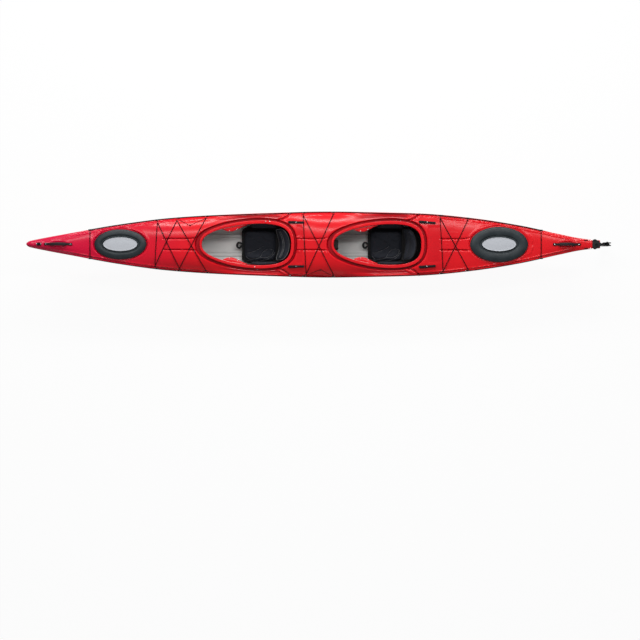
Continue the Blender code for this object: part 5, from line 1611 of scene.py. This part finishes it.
def make_footrests(lining):
    """Metal channels screwed to the hull's sides, each with a ribbed pedal on a carriage."""
    for seat, ends in FOOT_RAILS.items():
        for side_name, side in SIDES:
            start, end = (np.array((x, side * (
                half_width_inside(lining, x, z - RAIL_HEIGHT / 2) - 0.0020 - RAIL_DEPTH / 2), z))
                for x, z in ends)
            path = np.linspace(start, end, 24)
            grids = [sweep(path, superellipse(half_across, half_up, 8, 20) + (across * -side, up))
                     for across, up, half_across, half_up in (
                         (-0.0038, 0, 0.0012, 0.0130), (0.0, 0.0118, 0.0050, 0.0012),
                         (0.0, -0.0118, 0.0050, 0.0012), (0.0042, 0.0086, 0.0008, 0.0036),
                         (0.0042, -0.0086, 0.0008, 0.0036))]
            build(f"{seat}_{side_name}_rail_channel", grids, "rail", "rail_metal",
                  stands_for=(f"{seat}_{side_name}_foot_rail",))
            make_pedal(seat, side_name, side, start, end)


def make_pedal(seat, side_name, side, start, end):
    """A carriage on the rail, the pad on its inner side, and the pad's six ribs."""
    low, high = (np.array(corner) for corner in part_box(f"{seat}_{side_name}_foot_peg"))
    middle, size = (low + high) / 2, high - low
    foot = start + (end - start) * PEG_ALONG[seat]
    direction = (end - start) / np.linalg.norm(end - start)
    hub = foot + np.array((0, -side, 0.0)) * (RAIL_DEPTH / 2 + 0.0066)
    carriage = np.linspace(hub - direction * 0.034, hub + direction * 0.034, 14)
    grids = [sweep(carriage, superellipse(0.0052, 0.0118, 5, 24))]
    pad_x = hub[0] + 0.003
    outer_y = side * min(abs(hub[1]) - 0.003, abs(middle[1]) + size[1] / 2)
    centre_y = outer_y - side * PEG_PAD_WIDTH / 2
    outline = superellipse(PEG_PAD_WIDTH / 2, PEG_PAD_HALF_HEIGHT, 5, 48)
    pad = slab(outline, -0.0085, 0.0065, 0.0035, 5)
    grids.append(points_at(pad[..., 2] + pad_x, pad[..., 0] + centre_y, pad[..., 1] + hub[2]))
    for row in np.linspace(-0.030, 0.030, 6):
        bar = points_at(pad_x + 0.0062, centre_y + np.linspace(-0.029, 0.029, 8), hub[2] + row)
        grids.append(sweep(bar, superellipse(0.0022, 0.0022, 2.5, 10)))
    body = f"front_{side_name}_footrest" if seat == "front" else f"rear_{side_name}_pedal"
    build(f"{seat}_{side_name}_pedal_pad", grids, "black", "fitting_plastic", body,
          stands_for=(f"{seat}_{side_name}_foot_peg",))


# Seats

def seat_floor_line(seat, along):
    """Height of the pan's underside along the seat, dished towards the back."""
    return SEAT_FLOOR[seat] - 0.008 * np.sin(math.pi * np.clip(along, 0, 1)) + 0.012 * (1 - along)


def evaluated_copy(obj, name):
    """The object's shape with its modifiers, as a new mesh."""
    bpy.context.view_layer.update()
    graph = bpy.context.evaluated_depsgraph_get()
    data = bpy.data.meshes.new_from_object(obj.evaluated_get(graph))
    data.name = name
    return data


def inflate(name, grids, limit):
    """A sewn shape remeshed evenly, blown up as cloth, and smoothed once.

    Each point moves with the pressure for PAD_STEPS steps, but never further than the limit.
    """
    scene = bpy.context.scene
    shape = bpy.data.objects.new(name + "_pattern", make_mesh(name + "_pattern", grids))
    scene.collection.objects.link(shape)
    remesh = shape.modifiers.new("even_faces", "REMESH")
    remesh.mode = "VOXEL"
    remesh.voxel_size = PAD_VOXEL
    even = bpy.data.objects.new(name + "_even", evaluated_copy(shape, name + "_even"))
    scene.collection.objects.link(even)
    bpy.data.objects.remove(shape, do_unlink=True)
    before = read(even.data.vertices, "co")
    cloth = even.modifiers.new("filling", "CLOTH")
    cloth.settings.use_pressure = True
    cloth.settings.uniform_pressure_force = PAD_PRESSURE
    cloth.settings.effector_weights.gravity = 0.0
    cloth.settings.quality = 5
    cloth.point_cache.frame_start = 1
    cloth.point_cache.frame_end = PAD_STEPS
    for step in range(1, PAD_STEPS + 1):
        scene.frame_set(step)
    blown = evaluated_copy(even, name + "_blown")
    move = read(blown.vertices, "co") - before
    far = np.linalg.norm(move, axis=1, keepdims=True)
    even.modifiers.remove(cloth)
    scene.frame_set(1)
    move_points(even.data, before + move * np.minimum(1, limit / np.maximum(far, 1e-9)))
    bpy.data.meshes.remove(blown)
    finer = even.modifiers.new("smoothing", "SUBSURF")
    finer.levels = finer.render_levels = 1
    data = evaluated_copy(even, name)
    bpy.data.objects.remove(even, do_unlink=True)
    data.shade_smooth()
    return data


def pillow(rows, columns, power):
    """Places over a panel with rounded corners, and how near each is to its edge, 0 to 1.

    The lines u and v of a square, from -1 to 1, are drawn in to |u|^p + |v|^p = 1.
    """
    u, v = np.meshgrid(np.linspace(-1, 1, rows), np.linspace(-1, 1, columns), indexing="ij")
    corner = (np.abs(u) ** power + np.abs(v) ** power) ** (1 / power)
    rim = np.maximum(np.abs(u), np.abs(v))
    return u, v, rim, rim / np.maximum(corner, 1e-9)


def leaf(centre, length, width, angle):
    """A closed pointed oval: half width times sin(pi t), turned by an angle."""
    t = np.linspace(0, 1, 24)
    a = np.concatenate([t - 0.5, (0.5 - t)[1:]]) * length
    b = np.concatenate([np.sin(math.pi * t), -np.sin(math.pi * t)[1:]]) * width / 2
    c, s = math.cos(angle), math.sin(angle)
    return np.column_stack([centre[0] + a * c - b * s, centre[1] + a * s + b * c])


def pan_lines(seat, along):
    """At shares along the pan: x, underside, half width of the floor, the wing's edge and top."""
    x = SEAT_FRONT_EDGE[seat] - SEAT_OVERHANG + PAN_LENGTH * along
    floor = seat_floor_line(seat, along)
    end = ease(along, 1.0, 1.10)
    wing = ease(along, 0.08, 0.32) * (1 - 0.55 * ease(along, 0.85, 1.0)) * (1 - end)
    turn_in = np.clip(1 - along / 0.20, 0, 1)
    half = PAN_HALF_WIDTH - 0.046 * (1 - np.sqrt(np.clip(1 - turn_in**2, 0, 1)))
    reach = np.maximum(half, egg_half_width(f"{seat}_cockpit", x) - 0.0030)
    edge = half + (reach - half) * wing
    low = 0.034 - 0.018 * end
    top = floor + low + wing * (smooth_curve(CROWN, x) - 0.014 - floor - low)
    return x, floor, half, edge, top


def make_seat_pan(seat):
    """A moulded pan whose side wings rise, with rolled edges, to just inside the rim."""
    along = np.concatenate([[0, 0.004, 0.012], np.linspace(0.03, 1.39, 64), [1.408, 1.416, 1.42]])
    thin = np.concatenate([[0.35, 0.75, 0.95], np.ones(64), [0.95, 0.75, 0.35]])
    x, floor, half, edge, top = (line[:, None] for line in pan_lines(seat, along))
    bend = np.linspace(0, math.pi / 2, 7)
    up = np.linspace(0, 1, 12)[1:]
    flat_y = half * np.linspace(0, 0.9, 7)
    outer_y = np.hstack([flat_y, half - PAN_CORNER * (1 - np.sin(bend)),
                         half + (edge - half) * up**1.15])
    outer_z = np.hstack([floor + 0 * flat_y, floor + PAN_CORNER * (1 - np.cos(bend)),
                         (floor + PAN_CORNER) + (top - floor - PAN_CORNER) * up])
    step_y, step_z = np.gradient(outer_y, axis=1), np.gradient(outer_z, axis=1)
    size = np.maximum(np.hypot(step_y, step_z), 1e-9)
    wall = PAN_WALL * thin[:, None]
    inner_y, inner_z = outer_y - step_z / size * wall, outer_z + step_y / size * wall
    starboard = points_at(x, np.hstack([outer_y, inner_y[:, ::-1]]),
                          np.hstack([outer_z, inner_z[:, ::-1]]))
    port = starboard[:, -2:0:-1] * (1, -1, 1)
    rings = np.concatenate([starboard, port], axis=1)
    count = outer_y.shape[1]
    grids = [closed_rings(rings)]
    for ring in (rings[0], rings[-1]):
        strip = np.array([ring[:count], ring[count : 2 * count][::-1]])
        grids += [strip, strip * (1, -1, 1)]
    build(f"{seat}_seat_shell", grids, "black", "seat_plastic", stands_for=(f"{seat}_seat_pan",),
          sharp=55)


def make_hip_pads(seat):
    """A stuffed fabric pad on the inner face of each wing, up to the cockpit's edge.

    Along the seat and up the wing the pad swells as the root of 1 - r cubed.
    """
    u, v, rim, squeeze = pillow(45, 21, 4)
    along = 0.585 + 0.365 * u * squeeze
    up = 0.54 + 0.44 * v * squeeze
    x, floor, half, edge, top = pan_lines(seat, along)
    y = half + (edge - half) * up**1.15 - PAN_WALL
    z = floor + PAN_CORNER + (top - floor - PAN_CORNER) * up
    puff = np.sqrt(np.clip(1 - rim**3, 0, 1))
    for side_name, side in SIDES:
        grids = [points_at(x, side * (y - 0.0006 - depth * puff), z) for depth in (0.0, 0.0130)]
        name = f"{seat}_{side_name}_hip_pad"
        data = inflate(name, grids, 0.003)
        points = read(data.vertices, "co")
        points[:, 1] += side * 0.0024 * hill(points[:, 2] - float(np.median(z)) - 0.012, 0.0030)
        move_points(data, points)
        piece(name, data, "fabric")


# Sewn lines of a cushion, in metres behind its front edge and across; the panel is closed
CUSHION_SEAMS = (
    ((0.042, -0.075), (0.068, -0.073), (0.094, -0.065), (0.138, -0.046), (0.170, -0.029),
     (0.198, -0.009)),
    ((0.034, -0.108), (0.049, -0.128), (0.070, -0.136), (0.100, -0.135), (0.138, -0.128),
     (0.168, -0.116)),
    ((0.044, -0.146), (0.080, -0.153), (0.120, -0.154), (0.170, -0.151), (0.226, -0.141),
     (0.262, -0.124), (0.288, -0.098), (0.312, -0.070)),
    ((0.315, -0.130), (0.317, -0.060), (0.318, 0.0), (0.317, 0.060), (0.315, 0.130)),
)
CUSHION_PANEL = (
    (0.166, -0.117), (0.180, -0.094), (0.200, -0.066), (0.222, -0.046), (0.248, -0.038),
    (0.276, -0.040), (0.298, -0.052), (0.290, -0.074), (0.274, -0.096), (0.252, -0.112),
    (0.226, -0.120), (0.196, -0.121), (0.166, -0.117),
)


def pan_top(seat, x):
    """Height of the pan's floor, on its upper face, at x."""
    along = (x - SEAT_FRONT_EDGE[seat] + SEAT_OVERHANG) / PAN_LENGTH
    return seat_floor_line(seat, along) + PAN_WALL


def cushion_grids(seat):
    """Crowned top and flatter underside; the sides draw in between rounded corners."""
    front, slack = SEAT_FRONT_EDGE[seat], 0.975
    u, v, rim, squeeze = pillow(49, 49, 5)
    x = front + CUSHION_LENGTH / 2 * (1 + slack * u * squeeze * (1 - 0.02 * (1 - v**2)))
    y = (CUSHION_WIDTH / 2 + 0.0035) * slack * v * squeeze * (1 - 0.01 * (1 - u**2))
    y = y * (1 - 0.05 * ease(-u, 0.55, 1.0))
    crown = np.sqrt(np.clip(1 - rim**4, 0, 1))
    middle = pan_top(seat, x) + 0.0012 + 0.3 * CUSHION_THICK
    bolster = 0.010 * ease(np.abs(v), 0.45, 0.85)
    top = middle + (0.54 * CUSHION_THICK + bolster) * crown
    return [points_at(x, y, z) for z in (top, middle - 0.27 * CUSHION_THICK * crown)]


def make_cushion(seat):
    """The seat cushion: blown up as cloth, then its seams and leaf-shaped panel sewn in."""
    name = f"{seat}_seat_pad"
    data = inflate(name, cushion_grids(seat), 0.006)
    points = read(data.vertices, "co")
    front = SEAT_FRONT_EDGE[seat]
    plan = np.column_stack([points[:, 0] - front, -np.abs(points[:, 1])])
    upward = np.clip(read(data.vertices, "normal")[:, 2], 0, 1)
    strength = np.where(points[:, 1] < 0, 1.0, 0.45) * upward
    press = np.zeros(len(points))
    for seam in CUSHION_SEAMS + (CUSHION_PANEL,):
        away = distance_to(*plan.T, seam)
        press = np.maximum(press, hill(away, 0.0050) - 0.35 * hill(away, 0.0130))
    points[:, 2] -= 0.0095 * press * strength
    middle = np.hypot((plan[:, 0] - 0.232) / 0.050, (plan[:, 1] + 0.080) / 0.026)
    points[:, 2] += 0.0030 * hill(middle, 1.0) * strength
    crease = np.sin(plan[:, 0] * 95 + 3 * np.sin(points[:, 1] * 31))
    points[:, 2] += 0.0007 * (crease * np.sin(points[:, 1] * 64 + 1.3)) * upward
    points[:, 2] = np.maximum(points[:, 2], pan_top(seat, points[:, 0]) + 0.0006)
    move_points(data, points)
    piece(name, data, "fabric", stands_for=(f"{seat}_seat_cushion",))
    edge = superellipse(CUSHION_LENGTH / 2 * 0.985, CUSHION_WIDTH / 2 * 0.985, 5.0, 160)
    edge = np.vstack([edge, edge[:1]])
    narrow = 1 - 0.05 * ease(-edge[:, 0] / (CUSHION_LENGTH / 2), 0.55, 1.0)
    x = front + CUSHION_LENGTH / 2 + edge[:, 0]
    path = points_at(x, edge[:, 1] * narrow, pan_top(seat, x) + 0.0012 + 0.34 * CUSHION_THICK)
    build_tubes(f"{seat}_seat_piping", [tube(path, 0.0021, 8)], "webbing", "seat_fabric")
    top = points[upward > 0.5]
    for side_name, side in SIDES:
        tubes = []
        for seam in CUSHION_SEAMS[:3] + (CUSHION_PANEL,):
            run = spaced([(front + a, -side * b, 0.0) for a, b in seam], 60)
            near = ((run[:, None, :2] - top[None, :, :2]) ** 2).sum(axis=2).argmin(axis=1)
            run[:, 2] = smoothed(top[near, 2], 5) + 0.0008
            tubes.append(tube(run, 0.0014, 8))
        # The port side's stitching is grey and the starboard side's black: a painted highlight
        # along the port seams
        build_tubes(f"{seat}_{side_name}_seat_stitching", tubes,
                    "piping" if side < 0 else "webbing", "seat_fabric")


def smoothed(values, reach=9):
    """Running mean over the reach, with the ends held."""
    padded = np.pad(values, reach // 2, mode="edge")
    return np.convolve(padded, np.ones(reach) / reach, mode="valid")


def backband_hinge(seat):
    """X and height of the line that a backband tilts about."""
    return SEAT_FRONT_EDGE[seat] + 0.345, SEAT_FLOOR[seat] + 0.062


def band_place(seat, up, y, depth):
    """A place on the leaning backband: up along it, across, and depth towards the stern."""
    hinge_x, hinge_z = backband_hinge(seat)
    sweep_back = -BACKBAND_SWEEP * (y / BACKBAND_HALF_WIDTH) ** 2 + depth
    x = hinge_x + up * math.sin(BACKBAND_LEAN) + sweep_back * math.cos(BACKBAND_LEAN)
    z = hinge_z + up * math.cos(BACKBAND_LEAN) - sweep_back * math.sin(BACKBAND_LEAN)
    return points_at(x, y, z)


def arc_height(middle, y):
    """Height along a sewn arc of the backband, which falls with the square of y."""
    return middle - BAND_ARC_FALL * (y / 0.15) ** 2


def make_backband(seat):
    """The padded backband, hollowed towards the paddler, with its seams and piping."""
    body = f"{seat}_back_rest"
    half_height = BACKBAND_HEIGHT / 2
    u, v, rim, squeeze = pillow(41, 57, 4)
    puff = np.sqrt(np.clip(1 - rim**3, 0, 1)) * 0.84
    up = 0.012 + half_height * (1 + 0.955 * u * squeeze)
    y = BACKBAND_HALF_WIDTH * 0.97 * v * squeeze
    grids = [band_place(seat, up, y, facing * BACKBAND_THICK / 2 * puff) for facing in (-1, 1)]
    name = f"{seat}_back_pad"
    data = inflate(name, grids, 0.005)
    points = read(data.vertices, "co")
    hinge_x, hinge_z = backband_hinge(seat)
    s, c = math.sin(BACKBAND_LEAN), math.cos(BACKBAND_LEAN)
    dx, dz = points[:, 0] - hinge_x, points[:, 2] - hinge_z
    up, depth = dx * s + dz * c, dx * c - dz * s
    depth = depth + BACKBAND_SWEEP * (points[:, 1] / BACKBAND_HALF_WIDTH) ** 2
    flat = np.column_stack([points[:, 1], up])
    front_face = 1 - ease(depth, -0.004, 0.004)
    lines = [[(y, arc_height(h, y)) for y in np.linspace(-0.128, 0.128, 16)] for h in BAND_ARCS]
    lines += [leaf((side * 0.075, 0.066), 0.085, 0.040, side * 0.35) for side in (-1, 1)]
    press = sum(hill(distance_to(*flat.T, line), 0.0032) for line in lines)
    push = 0.0026 * np.clip(press, 0, 1) * front_face
    points[:, 0] += push * c
    points[:, 2] -= push * s
    move_points(data, points)
    piece(name, data, "fabric", body, (f"{seat}_backband",))
    edge = superellipse(BACKBAND_HALF_WIDTH * 0.985, half_height * 0.97, 4.0, 120)
    edge = np.vstack([edge, edge[:1]])
    path = band_place(seat, 0.012 + half_height + edge[:, 1], edge[:, 0], 0 * edge[:, 0])
    tubes = [tube(path, 0.0024, 8, up=(s, 0, c))]
    behind = 9 * np.maximum(depth, -0.001) ** 2
    for height in BAND_ARCS:
        y = np.linspace(-0.126, 0.126, 70)
        up_band = arc_height(height, y)
        near = [np.argmin((flat[:, 0] - a) ** 2 + (flat[:, 1] - b) ** 2 + behind)
                for a, b in zip(y, up_band)]
        path = band_place(seat, up_band, y, smoothed(depth[near]) - 0.0004)
        tubes.append(tube(path, 0.0021, 8, up=(s, 0, c)))
    build_tubes(f"{seat}_back_piping", tubes, "piping" if seat == "front" else "webbing",
                "seat_fabric", body)


def make_pull_strap(seat):
    """The folded webbing loop in front of the cushion, sewn under its edge."""
    front = SEAT_FRONT_EDGE[seat] - 0.0155
    floor = float(seat_floor_line(seat, np.array(0.0))) + 0.006
    loop = ((0.006, -0.008, 0), (-0.006, -0.018, 0.006), (-0.020, -0.026, 0.012),
            (-0.034, -0.021, 0.017), (-0.040, -0.006, 0.020), (-0.038, 0.010, 0.019),
            (-0.028, 0.022, 0.015), (-0.014, 0.022, 0.009), (0.006, 0.012, 0.003))
    path = spaced([(front + x, y, floor + z) for x, y, z in loop], 60)
    build_tubes(f"{seat}_pull_loop", [strap(path, superellipse(0.0105, 0.0017, 6, 20))], "webbing",
                "webbing", stands_for=(f"{seat}_seat_pull_strap",))


# Rudder

def upright(outline, low, high, edge):
    """A slab whose flat (x, z) outline stands upright, with its thickness along Y."""
    return slab(outline, low, high, edge)[..., [0, 2, 1]]


def make_rudder():
    """Mount and pin on the stern, steering yoke, head with two cheeks, blade and bolt."""
    deck = float(smooth_curve(CROWN, STEER_X)) + 0.0012
    low = deck + 0.0036
    u, v = np.meshgrid(np.linspace(0, 1, 15), np.linspace(-1, 1, 25), indexing="ij")
    x = 2.676 + 0.0725 * u
    y = (edge_half_width(x) - 0.0012) * v
    near_edge = np.minimum(np.minimum(u, 1 - u) / 0.05, (1 - np.abs(v)) / 0.06)
    rise = 0.0026 * np.clip(near_edge, 0, 1) ** 0.5
    plate = points_at(x, y, deck_surface(x, y) - 0.0006 + rise)
    pin = placed(lathe([(0, 0.0322), (0.0052, 0.0322), (0.0078, 0.0305), (0.0082, 0.0290),
                        (0.0082, 0.0262), (0.0045, 0.0258), (0.0045, 0.0), (0, 0)], 32),
                 (STEER_X, 0, deck))
    build("rudder_mount", [plate, pin], "black", "steel", stands_for=("rudder_mount_pin",))
    arm = [(2.677, 0.012), (2.684, 0.043), (2.694, YOKE_HALF_WIDTH), (2.708, YOKE_HALF_WIDTH),
           (2.735, 0.030), (2.7620, 0.011)]
    corners = [(x, -y) for x, y in arm] + arm[::-1]
    arms = slab(rounded_outline(corners, 0.006, 5), low, low + 0.0098, 0.0022, 5)
    hub = placed(lathe([(0, 0.0008), (0.0145, 0.0008), (0.0160, 0.0022), (0.0160, 0.0205),
                        (0.0146, 0.0228), (0.0120, 0.0233), (0.0100, 0.0225), (0.0092, 0.0205),
                        (0, 0.0205)], 40), (STEER_X, 0, low))
    bosses = [placed(lathe([(0, 0.0012), (0.0062, 0.0012), (0.0066, 0.0110), (0.0052, 0.0132),
                            (0, 0.0134)], 24), (2.6995, side * 0.0405, low)) for side in (-1, 1)]
    ribs = [sweep(np.linspace((STEER_X + 0.002, side * 0.013, low + 0.010),
                              (2.700, side * 0.038, low + 0.0095), 8),
                  superellipse(0.0030, 0.0035, 3, 14)) for side in (-1, 1)]
    build("rudder_yoke_arms", [arms, hub] + bosses + ribs, "rudder", "rudder_plastic",
          "rudder_steering", ("rudder_yoke",))
    neck = rounded_outline([(2.7625, low - 0.002), (2.7625, low + 0.023), (2.786, 0.430),
                            (2.7895, 0.430), (2.7895, 0.284), (2.786, 0.284),
                            (2.7755, low - 0.003)], 0.003, 4)
    cheek = rounded_outline([(2.774, 0.352), (2.776, 0.410), (2.789, 0.4335), (2.831, 0.4359),
                             (2.852, 0.418), (2.857, 0.346), (2.858, 0.325), (2.836, 0.303),
                             (2.833, 0.284), (2.785, 0.284)], 0.010, 6)
    ring = lathe([(0, 0.0002), (0.0155, 0.0002), (0.0155, 0.0016), (0.0135, 0.0026),
                  (0, 0.0026)], 36)
    grids = [upright(neck, -0.0100, 0.0100, 0.0025)]
    for side in (-1, 1):
        grids.append(upright(cheek, *sorted((side * 0.0086, side * 0.0163)), 0.0022))
        grids.append(placed(ring, (PIVOT[0], side * 0.0150, PIVOT[1]), (0, side, 0)))
    build("rudder_head_cheeks", grids, "rudder", "rudder_plastic", "rudder_steering",
          ("rudder_head",))
    make_blade()
    bolt = lathe([(0, 0.0042), (0.0060, 0.0042), (0.0092, 0.0030), (0.0100, 0.0012), (0.0100, 0),
                  (0.0056, 0), (0.0056, -0.0190), (0, -0.0190)], 28)
    nut = slab(superellipse(0.0098, 0.0098, 2.0, 6), 0.0, 0.0050, 0.0010, 3)
    shaft = lathe([(0, 0.0070), (0.0036, 0.0070), (0.0045, 0.0060), (0.0045, 0), (0, 0)], 20)
    grids = [placed(grid, (PIVOT[0], side * 0.0172, PIVOT[1]), (0, side, 0))
             for grid, side in ((bolt, -1), (nut, 1), (shaft, 1))]
    build("rudder_bolt", grids, "dark_steel", "steel", "rudder_steering", ("rudder_pivot_bolt",))


def make_blade():
    """A long narrow blade whose top is rounded about the pivot, with two ribs on each face."""
    top = [(PIVOT[0] + 0.020 * math.cos(a), PIVOT[1] + 0.020 * math.sin(a))
           for a in np.linspace(math.radians(165), math.radians(15), 11)]
    outline = rounded_outline([
        (2.7915, 0.240), (2.7960, 0.300), (2.7958, 0.345), *top, (2.8362, 0.345), (2.8368, 0.300),
        (2.8400, 0.250), (2.8560, 0.185), (2.8705, 0.140), (2.8735, 0.115), (2.8700, 0.000),
        (2.8662, -0.095), (2.8620, -0.112), (2.8520, -0.120), (2.8360, BLADE_TIP),
        (2.8100, -0.1205), (2.7985, -0.114), (2.7955, -0.090), (2.7910, 0.120)], 0.012, 5)
    grids = [upright(outline, -BLADE_THICK / 2, BLADE_THICK / 2, 0.0042)]
    taper = np.sin(np.linspace(0.15, math.pi - 0.15, 16))[:, None, None]
    shape = superellipse(BLADE_THICK / 2 + 0.0008, 0.0030, 3, 16)[None] * taper
    for x0, x1, z0, z1 in ((2.822, 2.846, 0.150, -0.060), (2.806, 2.812, 0.200, -0.080)):
        path = np.linspace((x0, 0, z0), ((x0 + x1) / 2, 0, z1), 16)
        grids.append(sweep(path, shape, up=(1, 0, 0)))
    build("rudder_blade_moulding", grids, "rudder", "rudder_plastic", "rudder_lifting",
          ("rudder_blade",))


def make_steering_cables():
    """Thin cables from their outlets in the stern deck back to the ends of the yoke."""
    low = float(smooth_curve(CROWN, STEER_X)) + 0.0048
    x = 2.600
    y = float(edge_half_width(np.array(x))) - 0.012
    z = float(deck_height(np.array(x), np.array(y))) - 0.001
    taper = np.linspace(1.0, 0.55, 16)[:, None, None]
    for side_name, side in SIDES:
        start = np.array((x, side * y, z))
        sleeve = spaced([start, start + (0.016, 0, 0.0036), start + (0.036, 0, 0.0042)], 16)
        build(f"{side_name}_cable_outlet",
              [sweep(sleeve, superellipse(0.0058, 0.0044, 2.3, 18)[None] * taper)], "black",
              "fitting_plastic")
        end = np.array((2.6985, side * 0.0405, low + 0.0100))
        path = spaced([sleeve[-3], sleeve[-1] + (0.006, side * 0.0002, 0.0007),
                       (sleeve[-1] + end) / 2 + (0, 0, -0.0006), end], 24)
        cable = build_tubes(f"{side_name}_steering_cable", [tube(path, 0.0012, 8)], "steel",
                            "steel")
        cable.parent = None
        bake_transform(cable)


def main():
    make_camera()
    make_stage()
    make_finishes()
    # Each screw's place and the direction its head looks in, gathered from the fittings
    screws = []
    make_perimeter_lines(screws)
    make_deck_cords()
    lining, deck_piece, side_piece = make_hull()
    make_moulding_screws(deck_piece, side_piece, screws)
    for hatch in HATCHES:
        make_hatch(hatch)
    make_carry_handle("bow", -2.575, -2.312, screws)
    make_carry_handle("stern", 2.302, 2.565, screws)
    make_bow_fitting(screws)
    make_deck_straps(screws)
    make_bulkheads(lining)
    make_pillar(lining)
    make_conduits(lining)
    make_thigh_braces(screws)
    make_footrests(lining)
    for seat in SEAT_FLOOR:
        make_seat_pan(seat)
        make_cushion(seat)
        make_hip_pads(seat)
        make_backband(seat)
        make_pull_strap(seat)
    make_rudder()
    make_steering_cables()
    make_screws(screws)


main()
